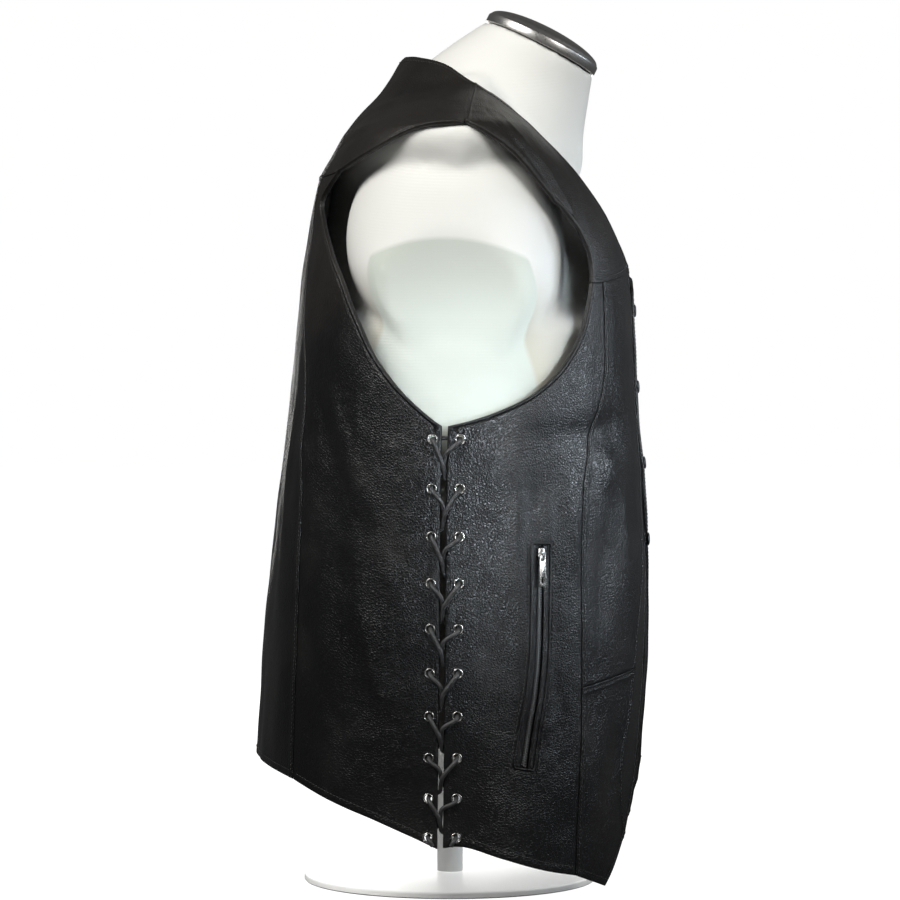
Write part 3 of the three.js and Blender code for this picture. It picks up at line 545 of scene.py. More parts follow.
class Panel:
    """A four-sided leather panel. u runs from its front side to its back one, v upward."""

    def __init__(self, bottom, top, front, back, kinds, side=1, stand_off=None):
        self.edges = {"bottom": bottom, "top": top, "front": front, "back": back}
        self.kinds = kinds
        self.side = side
        self.stand_off = stand_off
        share = np.linspace(0, 1, 41)
        u, v = np.meshgrid(share, share)
        points = self.skin(u, v)[0]
        across = np.linalg.norm(np.diff(points, axis=1), axis=-1).sum(1)
        upward = np.linalg.norm(np.diff(points, axis=0), axis=-1).sum(0)
        self.width = lambda v: np.interp(v, share, across)
        self.height = lambda u: np.interp(u, share, upward)

    def place(self, u, v):
        """(angle, z) blended from the four sides."""
        bottom, top = self.edges["bottom"].at(u), self.edges["top"].at(u)
        front, back = self.edges["front"].at(v), self.edges["back"].at(v)
        u, v = u[..., None], v[..., None]
        low = (1 - u) * self.edges["bottom"].at(0) + u * self.edges["bottom"].at(1)
        high = (1 - u) * self.edges["top"].at(0) + u * self.edges["top"].at(1)
        return (1 - v) * bottom + v * top + (1 - u) * front + u * back - (1 - v) * low - v * high

    def skin(self, u, v):
        place = self.place(u, v)
        angle, z = place[..., 0], place[..., 1]
        return skin_point(angle, z, self.side), skin_normal(angle, z, self.side)

    def relief(self, u, v):
        """How far the outer face stands off the skin, and how thick the leather is."""
        width, height = self.width(v), self.height(u)
        sides = {"front": (u * width, v), "back": ((1 - u) * width, v),
                 "bottom": (v * height, u), "top": ((1 - v) * height, u)}
        lift = np.zeros(u.shape)
        thick = np.full(u.shape, LEATHER)
        drop = np.zeros(u.shape)
        for name, (distance, along) in sides.items():
            begin = -0.01
            for end, kind in self.kinds[name]:
                here = (along > begin) & (along <= end + 1e-9)
                rise, wall = EDGE_KINDS[kind](distance)
                lift = lift + np.where(here, rise, 0)
                thick = np.where(here, np.maximum(thick, wall), thick)
                radius = EDGE_RADII[kind]
                inset = np.clip(radius - distance, 0, radius)
                drop = np.where(here, np.maximum(drop, radius - np.sqrt(radius ** 2 - inset ** 2)), drop)
                begin = end
        if self.stand_off is not None:
            lift = lift + self.stand_off(u * width)
        return lift, thick, drop

    def surface(self, u, v):
        """The outer face and its normals."""
        points, normals = self.skin(u, v)
        lift, _, drop = self.relief(u, v)
        return points + normals * (lift - drop)[..., None], normals

    def shares(self, size, step, joints):
        """Shares of a side: close together near its ends and even between them."""
        scale = min(1.0, size / (2.4 * EDGE_STEPS[-1]))
        banks = np.array(EDGE_STEPS) * scale
        count = max(2, round((size - 2 * banks[-1]) / step))
        middle = np.linspace(banks[-1] / size, 1 - banks[-1] / size, count + 1)
        for joint in joints:
            inner = middle[1:-1]
            if len(inner) and middle[0] < joint < middle[-1]:
                inner[np.argmin(np.abs(inner - joint))] = joint
        return banks, middle

    def grid(self, step):
        """The u and v of each point of the panel's net."""
        joints_u = self.edges["bottom"].joints + self.edges["top"].joints
        joints_v = self.edges["front"].joints + self.edges["back"].joints
        banks_u, middle_u = self.shares(float(np.mean(self.width(np.linspace(0, 1, 9)))), step, joints_u)
        banks_v, middle_v = self.shares(float(np.mean(self.height(np.linspace(0, 1, 9)))), step, joints_v)
        plain_u = self.full_line(banks_u, middle_u, None)
        plain_v = self.full_line(banks_v, middle_v, None)
        u = np.stack([self.full_line(banks_u, middle_u, float(self.width(v))) for v in plain_v])
        v = np.stack([self.full_line(banks_v, middle_v, float(self.height(u))) for u in plain_u], 1)
        return u, v

    @staticmethod
    def full_line(banks, middle, size):
        if size is None:
            size = banks[-1] / middle[0]
        scale = min(1.0, size / (2.2 * banks[-1]))
        near = banks * scale / size
        inner = middle[1:-1]
        low, high = middle[0], middle[-1]
        fitted = near[-1] + (inner - low) / (high - low) * (1 - 2 * near[-1])
        inner = np.where(np.abs(near[-1] - low) < 1e-6, inner, fitted)
        return np.concatenate((near, inner, 1 - near[::-1]))

    def mesh_arrays(self, step):
        """Points and faces of a closed shell. Its last faces are the inner ones."""
        u, v = self.grid(step)
        points, normals = self.skin(u, v)
        lift, thick, drop = self.relief(u, v)
        outer = points + normals * (lift - drop)[..., None]
        inner = points + normals * (lift - thick + drop * 0.5)[..., None]
        rows, columns = u.shape
        index = np.arange(rows * columns).reshape(rows, columns)
        under = index.copy()
        inside = (rows - 2, columns - 2)
        under[1:-1, 1:-1] = rows * columns + np.arange(inside[0] * inside[1]).reshape(inside)
        corners = [net[a:rows - 1 + a, b:columns - 1 + b].ravel()
                   for net in (index, under) for a, b in ((0, 0), (0, 1), (1, 1), (1, 0))]
        outer_faces = np.stack(corners[:4][::-1], 1)
        inner_faces = np.stack(corners[4:], 1)
        vertices = np.vstack((outer.reshape(-1, 3), inner[1:-1, 1:-1].reshape(-1, 3)))
        return vertices, outer_faces, inner_faces


def kinds(bottom, top, front, back):
    """Each side's edge kinds, as (share where it ends, kind) pairs."""
    sides = {"bottom": bottom, "top": top, "front": front, "back": back}
    return {name: ((1.0, kind),) if isinstance(kind, str) else kind for name, kind in sides.items()}


def right_panels(side=1):
    """The panels of the wearer's right half. The left half's are their mirror images."""
    return {
        "back_side": Panel(
            Edge(BACK_HEM), Edge(BACK_YOKE_BIT), Edge(BACK_LACED_EDGE, ARMHOLE_BACK), Edge(BACK_SEAM),
            kinds("turned", "under", ((LACED_BACK, "turned"), (1, "bound")), "under"), side),
        "front_side": Panel(
            Edge(FRONT_HEM), Edge(FRONT_YOKE_BIT), Edge(FRONT_SEAM_LOW, FRONT_SEAM_HIGH),
            Edge(FRONT_LACED_EDGE, ARMHOLE_FRONT),
            kinds("turned", "under", "under", ((LACED_FRONT, "turned"), (1, "bound"))), side),
        "front_upper": Panel(
            Edge(SLANT_SEAM), Edge(FRONT_YOKE_SEAM), Edge(BAND_LINE_HIGH), Edge(FRONT_SEAM_HIGH),
            kinds("under", "under", "over", "over"), side),
        "front_lower": Panel(
            Edge(CUTAWAY, FRONT_HEM_SHORT), Edge(SLANT_SEAM), Edge(BAND_LINE_LOW), Edge(FRONT_SEAM_LOW),
            kinds("turned", "over", "over", "over"), side),
        "front_yoke": Panel(
            Edge(FRONT_YOKE_SEAM, FRONT_YOKE_BIT), Edge(SHOULDER_SEAM).reversed(), Edge(VEE_EDGE),
            Edge(ARMHOLE_FRONT_TOP), kinds("over", "over", "turned", "bound"), side),
    }


def band_panel(side):
    """A front band. The left one closes over the right one."""
    def over_right(distance):
        return BAND_STEP * (1 - smoothstep(distance, 22, 30))

    return Panel(
        Edge(BAND_FOOT_EDGE), Edge(BAND_TOP_EDGE), Edge(FRONT_EDGE_LOW, FRONT_EDGE_HIGH),
        Edge(BAND_LINE_LOW, BAND_LINE_HIGH), kinds("turned", "turned", "turned", "under"), side,
        over_right if side < 0 else None)


def back_yoke_panel():
    side_edge = Edge(ARMHOLE_BACK_TOP, SHOULDER_SEAM)
    ends = ((YOKE_ARMHOLE, "bound"), (1, "under"))
    return Panel(
        Edge(BACK_YOKE_BIT, BACK_YOKE_HALF).doubled(), Edge(NECK_HALF).doubled(), side_edge,
        side_edge.mirrored(), kinds("over", "turned", ends, ends))


def back_centre_panel():
    return Panel(
        Edge(CENTRE_HEM_HALF).doubled(), Edge(BACK_YOKE_HALF).doubled(), Edge(BACK_SEAM),
        Edge(BACK_SEAM).mirrored(), kinds("turned", "under", "over", "over"))


def mirror(points, side):
    return points * (side, 1, 1)


def new_object(name, vertices, faces, materials, smooth=True):
    """A mesh object from points in millimetres."""
    mesh = bpy.data.meshes.new(name)
    corners = [list(map(int, face)) for face in faces]
    mesh.from_pydata((np.asarray(vertices, float) * MM).tolist(), [], corners)
    mesh.update()
    for material in materials:
        mesh.materials.append(material)
    if smooth:
        mesh.shade_smooth()
    piece = bpy.data.objects.new(name, mesh)
    bpy.context.scene.collection.objects.link(piece)
    return piece


def finish_piece(piece, slot, *replaced, body="root"):
    """The piece rides on its body and stands for solids. Its slot is not used."""
    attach(piece, body)
    if replaced:
        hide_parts(*replaced)
    return piece


def join_parts(parts):
    """Several (vertices, faces) parts as one."""
    vertices, faces, start = [], [], 0
    for points, sides in parts:
        vertices.append(np.asarray(points, float))
        faces.extend([[start + corner for corner in face] for face in sides])
        start += len(points)
    return np.vstack(vertices), faces


def sharpen(piece, degrees):
    """Edges that turn by more than an angle stay sharp."""
    piece.data.set_sharp_from_angle(angle=math.radians(degrees))


def apply_modifiers(piece):
    """The piece's mesh becomes what its modifiers make of it."""
    graph = bpy.context.evaluated_depsgraph_get()
    evaluated = bpy.data.meshes.new_from_object(piece.evaluated_get(graph))
    piece.modifiers.clear()
    old = piece.data
    piece.data = evaluated
    bpy.data.meshes.remove(old)


# Materials


class Nodes:
    """Short ways to build a material's node tree."""

    def __init__(self, name, colour, roughness, metallic=0.0):
        self.material = bpy.data.materials.new(name)
        self.material.use_nodes = True
        self.material.diffuse_color = (*colour, 1)
        self.tree = self.material.node_tree
        self.shader = self.tree.nodes["Principled BSDF"]
        self.shader.inputs["Base Color"].default_value = (*colour, 1)
        self.shader.inputs["Roughness"].default_value = roughness
        self.shader.inputs["Metallic"].default_value = metallic

    def add(self, kind, **settings):
        node = self.tree.nodes.new(kind)
        for key, value in settings.items():
            if key in node.inputs:
                node.inputs[key].default_value = value
            else:
                setattr(node, key, value)
        return node

    def link(self, source, target):
        self.tree.links.new(source, target)

    def place(self):
        return self.add("ShaderNodeTexCoord").outputs["Object"]

    def noise(self, place, scale, detail=2.0, roughness=0.5):
        node = self.add("ShaderNodeTexNoise")
        node.inputs["Scale"].default_value = scale
        node.inputs["Detail"].default_value = detail
        node.inputs["Roughness"].default_value = roughness
        self.link(place, node.inputs["Vector"])
        return node

    def ranged(self, value, low, high, to_low, to_high):
        node = self.add("ShaderNodeMapRange")
        for key, number in (("From Min", low), ("From Max", high), ("To Min", to_low), ("To Max", to_high)):
            node.inputs[key].default_value = number
        self.link(value, node.inputs["Value"])
        return node.outputs["Result"]

    def ramp(self, value, stops):
        node = self.add("ShaderNodeValToRGB")
        while len(node.color_ramp.elements) < len(stops):
            node.color_ramp.elements.new(0.5)
        for element, (place, colour) in zip(node.color_ramp.elements, stops):
            element.position = place
            element.color = (*colour, 1)
        self.link(value, node.inputs["Fac"])
        return node.outputs["Color"]

    def mixed(self, share, first, second):
        """Two colours mixed. The second may be a plain colour."""
        node = self.add("ShaderNodeMix", data_type="RGBA")
        self.link(share, node.inputs["Factor"])
        self.link(first, node.inputs[6])
        if isinstance(second, tuple):
            node.inputs[7].default_value = (*second, 1)
        else:
            self.link(second, node.inputs[7])
        return node.outputs[2]

    def calculate(self, operation, *values):
        """A sum of sockets and plain numbers."""
        node = self.add("ShaderNodeMath", operation=operation)
        for socket, value in zip(node.inputs, values):
            if isinstance(value, float):
                socket.default_value = value
            else:
                self.link(value, socket)
        return node.outputs[0]

    def axes(self, place):
        node = self.add("ShaderNodeSeparateXYZ")
        self.link(place, node.inputs[0])
        return node.outputs

    def ribs(self, place, direction, **settings):
        node = self.add("ShaderNodeTexWave", wave_type="BANDS", bands_direction=direction, **settings)
        self.link(place, node.inputs["Vector"])
        return node.outputs["Fac"]

    def drive(self, name, source):
        """The shader's socket of that name follows a source."""
        self.link(source, self.shader.inputs[name])

    def bump(self, height, strength, distance, under=None):
        node = self.add("ShaderNodeBump")
        node.inputs["Strength"].default_value = strength
        node.inputs["Distance"].default_value = distance
        self.link(height, node.inputs["Height"])
        if under is not None:
            self.link(under, node.inputs["Normal"])
        return node.outputs["Normal"]


def scaled(colour, factor):
    return tuple(channel * factor for channel in colour)


def leather_material(settings):
    """Pebbled black cowhide: domed grains between fine furrows, a soft uneven sheen. It is a little duller
    high on the shoulders, and painted lighter and browner there: painted light on the yokes."""
    nodes = Nodes("pebbled_leather", tuple(settings.colour), settings.roughness)
    nodes.shader.inputs["Specular IOR Level"].default_value = settings.sheen
    place = nodes.place()
    warp = nodes.noise(place, 420.0, 2.0)
    shifted = nodes.add("ShaderNodeVectorMath", operation="MULTIPLY_ADD")
    shifted.inputs[1].default_value = (0.0011, 0.0011, 0.0011)
    nodes.link(warp.outputs["Color"], shifted.inputs[0])
    nodes.link(place, shifted.inputs[2])
    grain = nodes.add("ShaderNodeTexVoronoi", feature="DISTANCE_TO_EDGE")
    grain.inputs["Scale"].default_value = 1 / settings.grain
    nodes.link(shifted.outputs[0], grain.inputs["Vector"])
    pebble = nodes.ramp(grain.outputs["Distance"], (
        (0.0, (0, 0, 0)), (0.2, (0.6, 0.6, 0.6)), (0.45, (1, 1, 1))))
    fine = nodes.noise(place, 900.0, 2.0, 0.5)
    creases = nodes.noise(place, 60.0, 1.5, 0.45)
    patches = nodes.noise(place, 13.0, 3.0, 0.55)
    # Painted light: the tone rises high on the shoulders, so the yokes are painted lighter and browner, as if
    # lit from above
    shoulder = nodes.ranged(nodes.axes(place)["Z"], 0.44, 0.56, 0.0, 0.45)
    tone = nodes.calculate("ADD", patches.outputs["Fac"], shoulder)
    dark, plain, painted_light_tone = scaled(settings.colour, 0.75), tuple(settings.colour), tuple(settings.handled_and_lit_colour)
    nodes.drive("Base Color", nodes.ramp(tone, ((0.3, dark), (0.55, plain), (0.95, painted_light_tone))))
    nodes.drive("Roughness", nodes.ranged(
        tone, 0.3, 1.1, settings.roughness - 0.04, settings.roughness + 0.12))
    deep = nodes.bump(creases.outputs["Fac"], 0.5, 0.0016)
    mottled = nodes.bump(fine.outputs["Fac"], 0.3, 0.0001, deep)
    nodes.drive("Normal", nodes.bump(pebble, 1.0, 0.00021, mottled))
    return nodes.material


def lining_material():
    nodes = Nodes("black_lining", (0.010, 0.010, 0.011), 0.55)
    place = nodes.place()
    weave = nodes.noise(place, 2400.0, 1.0)
    nodes.drive("Normal", nodes.bump(weave.outputs["Fac"], 0.3, 0.0002))
    tone = nodes.noise(place, 40.0, 2.0)
    nodes.drive("Base Color", nodes.ramp(
        tone.outputs["Fac"], ((0.3, (0.007, 0.007, 0.008)), (0.7, (0.013, 0.013, 0.014)))))
    return nodes.material


def lace_material(colour):
    """A round leather lace, with dull grey wear along its sides."""
    nodes = Nodes("lace_leather", colour, 0.52)
    tone = nodes.noise(nodes.place(), 260.0, 3.0).outputs["Fac"]
    nodes.drive("Base Color", nodes.ramp(tone, ((0.3, scaled(colour, 0.6)), (0.7, scaled(colour, 1.5)))))
    nodes.drive("Normal", nodes.bump(tone, 0.5, 0.0003))
    return nodes.material


def tape_material():
    """Woven zip tape with a herringbone of fine ribs."""
    nodes = Nodes("zip_tape_weave", (0.004, 0.004, 0.0045), 0.85)
    place = nodes.place()
    ribs = nodes.ribs(place, "DIAGONAL", Scale=300.0, Distortion=0.6)
    nodes.drive("Normal", nodes.bump(ribs, 0.6, 0.0003))
    tone = nodes.noise(place, 90.0)
    nodes.drive("Base Color", nodes.ramp(
        tone.outputs["Fac"], ((0.3, (0.003, 0.003, 0.0035)), (0.7, (0.006, 0.006, 0.0065)))))
    return nodes.material


def marked_material(nodes, scale, detail, dull, bump=None):
    """A finish whose gloss varies with faint marks, which may be felt too."""
    marks = nodes.noise(nodes.place(), scale, detail).outputs["Fac"]
    nodes.drive("Roughness", nodes.ranged(marks, 0.3, 0.7, *dull))
    if bump:
        nodes.drive("Normal", nodes.bump(marks, *bump))
    return nodes.material


def thread_material(colour):
    """Waxed thread: fine twist across each stitch."""
    return marked_material(Nodes("waxed_thread", colour, 0.5), 2600.0, 1.0, (0.4, 0.62), (0.5, 0.0002))


def nickel_material(colour):
    """Bright plated metal with faint handling marks."""
    return marked_material(Nodes("nickel_plate", colour, 0.22, 1.0), 900.0, 3.0, (0.2, 0.32), (0.08, 0.0001))


def teeth_material():
    """Dark plated teeth, dulled by wear."""
    return marked_material(Nodes("gunmetal_teeth", (0.2, 0.2, 0.2), 0.36, 1.0), 700.0, 2.0, (0.3, 0.5))


def enamel_material():
    """Black enamel, faintly uneven."""
    nodes = Nodes("black_enamel", (0.008, 0.008, 0.009), 0.3)
    return marked_material(nodes, 600.0, 2.0, (0.24, 0.4), (0.1, 0.0002))


def cap_material():
    """Silver turned on a lathe, softly marked."""
    nodes = Nodes("brushed_silver", (0.5, 0.49, 0.475), 0.34, 1.0)
    return marked_material(nodes, 700.0, 2.0, (0.27, 0.42), (0.06, 0.0001))


def paint_material(colour):
    """Satin paint with a slight orange peel."""
    return marked_material(Nodes("satin_white_paint", colour, 0.38), 340.0, 2.0, (0.33, 0.44), (0.08, 0.0003))


def form_cloth_material(colour, plate):
    """Stretched jersey with fine level ribs, and the greyer plates of the arm stumps, with painted shade on
    the plates and a painted shadow round their lower rims.
    """
    nodes = Nodes("cream_jersey", colour, 0.88)
    nodes.shader.inputs["Sheen Weight"].default_value = 0.15
    place = nodes.place()
    ribs = nodes.ribs(place, "Z", Scale=260.0, Distortion=1.4, Detail=2.0)
    slub = nodes.noise(place, 60.0, 3.0)
    tone = nodes.noise(place, 9.0, 2.0)
    cloth = nodes.ramp(tone.outputs["Fac"], ((0.3, scaled(colour, 0.93)), (0.7, colour)))
    axes = nodes.axes(place)
    height = axes["Z"]

    # A plate is what lies beyond its own leaning plane and below an arch
    plane = nodes.ranged(height, 0.40, 0.60, *(arm_plate(z) * MM for z in (400, 600)))
    beyond = nodes.calculate("SUBTRACT", nodes.calculate("ABSOLUTE", axes["X"]), plane)
    flat = nodes.ranged(beyond, -0.0105, -0.0085, 0.0, 1.0)
    off_middle = nodes.calculate("ADD", axes["Y"], 0.010)
    arched = nodes.calculate("MULTIPLY_ADD", nodes.calculate("POWER", off_middle, 2.0), 3.6, height)
    faced = nodes.calculate("MULTIPLY", flat, nodes.ranged(arched, 0.536, 0.540, 1.0, 0.0))
    # Painted shade on each plate: darker at its top, under the stump's dome, and darker towards its foot
    shade = nodes.ramp(nodes.ranged(height, 0.43, 0.53, 0.0, 1.0), (
        (0.0, scaled(plate, 0.82)), (0.45, scaled(plate, 0.94)), (1.0, scaled(plate, 0.82))))

    # A painted shadow darkens the cloth round the lower half of a plate's rim
    rim_shadow_reach = nodes.ranged(beyond, -0.05, -0.0115, 0.0, 0.9)
    painted_rim_shadow = nodes.calculate("MULTIPLY", rim_shadow_reach, nodes.ranged(height, 0.46, 0.52, 1.0, 0.0))
    painted_light_tone = nodes.mixed(painted_rim_shadow, cloth, (0.50, 0.475, 0.385))
    nodes.drive("Base Color", nodes.mixed(faced, painted_light_tone, shade))
    nodes.drive("Normal", nodes.bump(slub.outputs["Fac"], 0.12, 0.0006, nodes.bump(ribs, 0.25, 0.0002)))
    return nodes.material


def material(name, maker, *arguments):
    """A material made once and shared by the pieces of that finish."""
    return bpy.data.materials.get(name) or maker(*arguments)


def leather(context):
    return material("pebbled_leather", leather_material, context.scene.vest_leather)


def lining():
    return material("black_lining", lining_material)


def nickel(context):
    return material("nickel_plate", nickel_material, tuple(context.scene.vest_metal.colour))


def thread(context):
    return material("waxed_thread", thread_material, tuple(context.scene.vest_thread.colour))


def panel_object(context, name, panel, mirrored_piece=False):
    """One leather panel: leather outside and lining on its inner face."""
    step = context.scene.vest_leather.mesh_step / MM
    vertices, outer_faces, inner_faces = panel.mesh_arrays(step)
    if mirrored_piece:
        vertices = mirror(vertices, -1)
        outer_faces = outer_faces[:, ::-1]
        inner_faces = inner_faces[:, ::-1]
    faces = np.vstack((outer_faces, inner_faces))
    piece = new_object(name, vertices, faces, (leather(context), lining()))
    marks = np.concatenate((np.zeros(len(outer_faces), int), np.ones(len(inner_faces), int)))
    piece.data.polygons.foreach_set("material_index", marks.astype(np.int32))
    return piece


# Zip pockets

ZIP_LINE = table(
    "y z", (-75.5, 114), (-80.3, 149), (-84.8, 178), (-87.6, 212.5), (-88.8, 255.6), (-89.3, 293))
ZIP_POINTS = smooth_line(np.stack((ZIP_LINE["y"], ZIP_LINE["z"]), -1), 200)
ZIP_LENGTH = float(np.linalg.norm(np.diff(ZIP_POINTS, axis=0), axis=1).sum())


def skin_frame(y, z, y_below, y_above, reach):
    """A frame on the skin of the right side: its origin, the way across, up and outward."""
    origin = skin_point(*at_y(y, z))
    out = skin_normal(*at_y(y, z))
    rise = skin_point(*at_y(y_above, z + reach)) - skin_point(*at_y(y_below, z - reach))
    up = unit(rise - out * rise.dot(out))
    across = np.cross(up, out)
    turned = Matrix((across, up, out)).transposed().to_4x4()
    turned.translation = Vector(origin)
    return turned


def zip_place(share):
    """(y, z) at a share of the zip's length."""
    places = np.linspace(0, 1, len(ZIP_POINTS))
    return np.array([np.interp(share, places, ZIP_POINTS[:, k]) for k in (0, 1)])


@functools.cache
def zip_frame(along):
    """The frame at a share of the zip's length. Beyond its ends the line runs straight on."""
    share = min(max(along, 0), 1)
    here, ahead, behind = (zip_place(min(max(share + shift, 0), 1)) for shift in (0, 0.01, -0.01))
    step = unit(ahead - behind) * 4
    frame_here = skin_frame(here[0], here[1], here[0] - step[0], here[0] + step[0], step[1])
    return frame_here @ Matrix.Translation((0, (along - share) * ZIP_LENGTH, 0))


def zip_points(along, across, out):
    """Points beside the zip: shares of its length, distances across and out of the skin."""
    rows = []
    for share in along:
        here = np.array(zip_frame(share))
        local = np.stack((across, np.zeros(len(across)), out, np.ones(len(across))), -1)
        rows.append(local @ here.T[:, :3])
    return np.array(rows)


def strip_between(outer, inner):
    """A closed strip from two nets of points, one over the other."""
    rows, columns = outer.shape[:2]
    vertices = np.vstack((outer.reshape(-1, 3), inner.reshape(-1, 3)))
    index = np.arange(rows * columns).reshape(rows, columns)
    under = index + rows * columns
    faces = []
    for a in range(rows - 1):
        for b in range(columns - 1):
            faces.append((index[a, b], index[a, b + 1], index[a + 1, b + 1], index[a + 1, b]))
            faces.append((under[a, b], under[a + 1, b], under[a + 1, b + 1], under[a, b + 1]))
    for b in range(columns - 1):
        faces.append((index[0, b + 1], index[0, b], under[0, b], under[0, b + 1]))
        faces.append((index[-1, b], index[-1, b + 1], under[-1, b + 1], under[-1, b]))
    for a in range(rows - 1):
        faces.append((index[a, 0], index[a + 1, 0], under[a + 1, 0], under[a, 0]))
        faces.append((index[a + 1, -1], index[a, -1], under[a, -1], under[a + 1, -1]))
    return vertices, faces


def sided(part, side):
    """A part for the wearer's right, or its mirror image for the left."""
    vertices, faces = part
    if side > 0:
        return vertices, faces
    return mirror(np.asarray(vertices), -1), [list(face)[::-1] for face in faces]


def ring_faces(count, sides, closed=False):
    """Faces round rings of points, which close on themselves or have a flat end at each end."""
    faces = []
    for low in range(count if closed else count - 1):
        high = (low + 1) % count
        for k in range(sides):
            n = (k + 1) % sides
            faces.append((low * sides + k, low * sides + n, high * sides + n, high * sides + k))
    if not closed:
        faces.append(tuple(range(sides))[::-1])
        faces.append(tuple((count - 1) * sides + k for k in range(sides)))
    return faces


def loft(rings):
    """A closed body through rings of points."""
    return np.vstack(rings), ring_faces(len(rings), len(rings[0]))


def tube(points, radius, sides=8, closed=False, flatten=1.0, lean=None):
    """A round tube along points. lean holds a direction that the section's height keeps to."""
    points = np.asarray(points, float)
    count = len(points)
    ahead = np.roll(points, -1, 0) - np.roll(points, 1, 0)
    if not closed:
        ahead[0] = points[1] - points[0]
        ahead[-1] = points[-1] - points[-2]
    ahead = unit(ahead)
    if lean is None:
        up = np.array((0.0, 0.0, 1.0)) if abs(ahead[0][2]) < 0.9 else np.array((1.0, 0.0, 0.0))
        normals = []
        for direction in ahead:
            up = unit(up - direction * up.dot(direction))
            normals.append(up)
        normals = np.array(normals)
    else:
        lean = np.broadcast_to(lean, points.shape)
        normals = unit(lean - ahead * (lean * ahead).sum(-1, keepdims=True))
    across = np.cross(normals, ahead)
    turn = 2 * np.pi * np.arange(sides) / sides
    radius = np.broadcast_to(radius, (count,))[:, None, None]
    ring = across[:, None] * np.cos(turn)[None, :, None]
    ring = ring + normals[:, None] * np.sin(turn)[None, :, None] * flatten
    return (points[:, None] + ring * radius).reshape(-1, 3), ring_faces(count, sides, closed)


def lathe(profile, sides, place):
    """A turned part: (radius, rise) points round an axis, set by a matrix."""
    vertices, faces, rings = [], [], []
    for radius, rise in profile:
        if radius == 0:
            rings.append([len(vertices)])
            vertices.append((0, 0, rise))
            continue
        rings.append(list(range(len(vertices), len(vertices) + sides)))
        for k in range(sides):
            turn = 2 * math.pi * k / sides
            vertices.append((radius * math.cos(turn), radius * math.sin(turn), rise))
    closed = profile[0] == profile[-1]
    if closed:
        del vertices[rings[-1][0]:]
        rings[-1] = rings[0]
    for low, high in zip(rings, rings[1:]):
        for k in range(sides):
            n = (k + 1) % sides
            if len(low) == 1:
                faces.append((low[0], high[n], high[k]))
            elif len(high) == 1:
                faces.append((low[k], low[n], high[0]))
            else:
                faces.append((low[k], low[n], high[n], high[k]))
    placed = [tuple(place @ Vector(point)) for point in vertices]
    return np.array(placed), faces


def area_light(name, power, size, place, away):
    """A square light at a place. Its back faces along a direction."""
    data = bpy.data.lights.new(name, "AREA")
    data.size = size
    data.energy = power
    light = bpy.data.objects.new(name, data)
    light.location = place
    light.rotation_euler = away.to_track_quat("Z", "Y").to_euler()
    bpy.context.scene.collection.objects.link(light)
    return light


def turned_to(direction, origin):
    """A matrix that sets +Z along a direction, at an origin."""
    turn = Vector((0, 0, 1)).rotation_difference(Vector(direction)).to_matrix().to_4x4()
    return Matrix.Translation(Vector(origin)) @ turn


# Side lacing


def lacing_height(row):
    return LACING_TOP - LACING_PITCH * row + LACING_PITCH_LOSS * row * row


def lacing_place(row, across):
    z = lacing_height(row)
    return at_y(gap_middle(z) + across, z)


def lace_strand(starts_in_front, dives_at):
    """Stations of one strand, as (across, z, depth): up through an eyelet, down over the
    panel to the gap, under the other panel and up through the next eyelet there."""
    stations = []
    for row in range(LACING_ROWS):
        in_front = starts_in_front == (row % 2 == 0)
        side = -1 if in_front else 1
        near = side * (EYELET_FRONT if in_front else EYELET_BACK)
        far = -side * (EYELET_BACK if in_front else EYELET_FRONT)
        top = lacing_height(row)
        stations.append((near, top, -LEATHER / 2))
        if row == LACING_ROWS - 1:
            stations.append((near - side * 2.2, top - 2.9, 2.3))
            stations.append((near - side * 4.2, top - 6.4, 2.0))
            continue
        following = lacing_height(row + 1)
        dive = top - dives_at * (top - following)
        stations.append((near - side * 1.6, top - 2.9, 2.3))
        stations.append((side * 1.3, dive + 6, 2.1))
        stations.append((0, dive, -LEATHER / 2))
        stations.append((-side * 1.3, dive - 6, -4.2))
        stations.append((far + side * 1.6, following + 2.7, -4.7))
    return stations


def lace_route():
    """The points of one side's lace, hand to hand from one last row to the other."""
    top_bar = [(2.6 - EYELET_FRONT, LACING_TOP + 0.5, -4.7), (0, LACING_TOP + 1, -4.6),
               (EYELET_BACK - 2.6, LACING_TOP + 0.5, -4.7)]
    stations = lace_strand(True, 0.46)[::-1] + top_bar + lace_strand(False, 0.66)
    return np.array([off_skin(*at_y(gap_middle(z) + across, z), depth) for across, z, depth in stations])


# Dress form

NECK = table(
    "y z across deep tilt", (-30, 600, 60, 78, 6), (-37, 636, 64, 80, 16), (-44, 664, 64, 76, 22),
    (-60, 690, 55, 64, 24), (-77, 712, 50, 51, 27))
STUMP = table(
    "z y deep reach power",
    (403, -19, 9, 70, 3), (418, -20, 25, 78, 3.5), (440, -21, 46, 84, 3.5), (465, -20, 65, 90, 3.5),
    (490, -18, 80, 94, 3.3), (515, -14, 87, 94, 3), (538, -12.5, 89.5, 91.5, 2.6),
    (562, -12.5, 88, 88.5, 2.3), (585, -14, 82, 83, 2.2), (605, -17, 74, 74, 2.1),
    (618, -22, 63, 62, 2), (628, -25, 42, 46, 2), (634, -27, 14, 24, 2),
)
STUMP_MIDDLE = 90


def arm_plate(z):
    """How far out the flat plate that ends a stump lies. It leans in toward its foot."""
    return 162 + 0.13 * (z - 403)


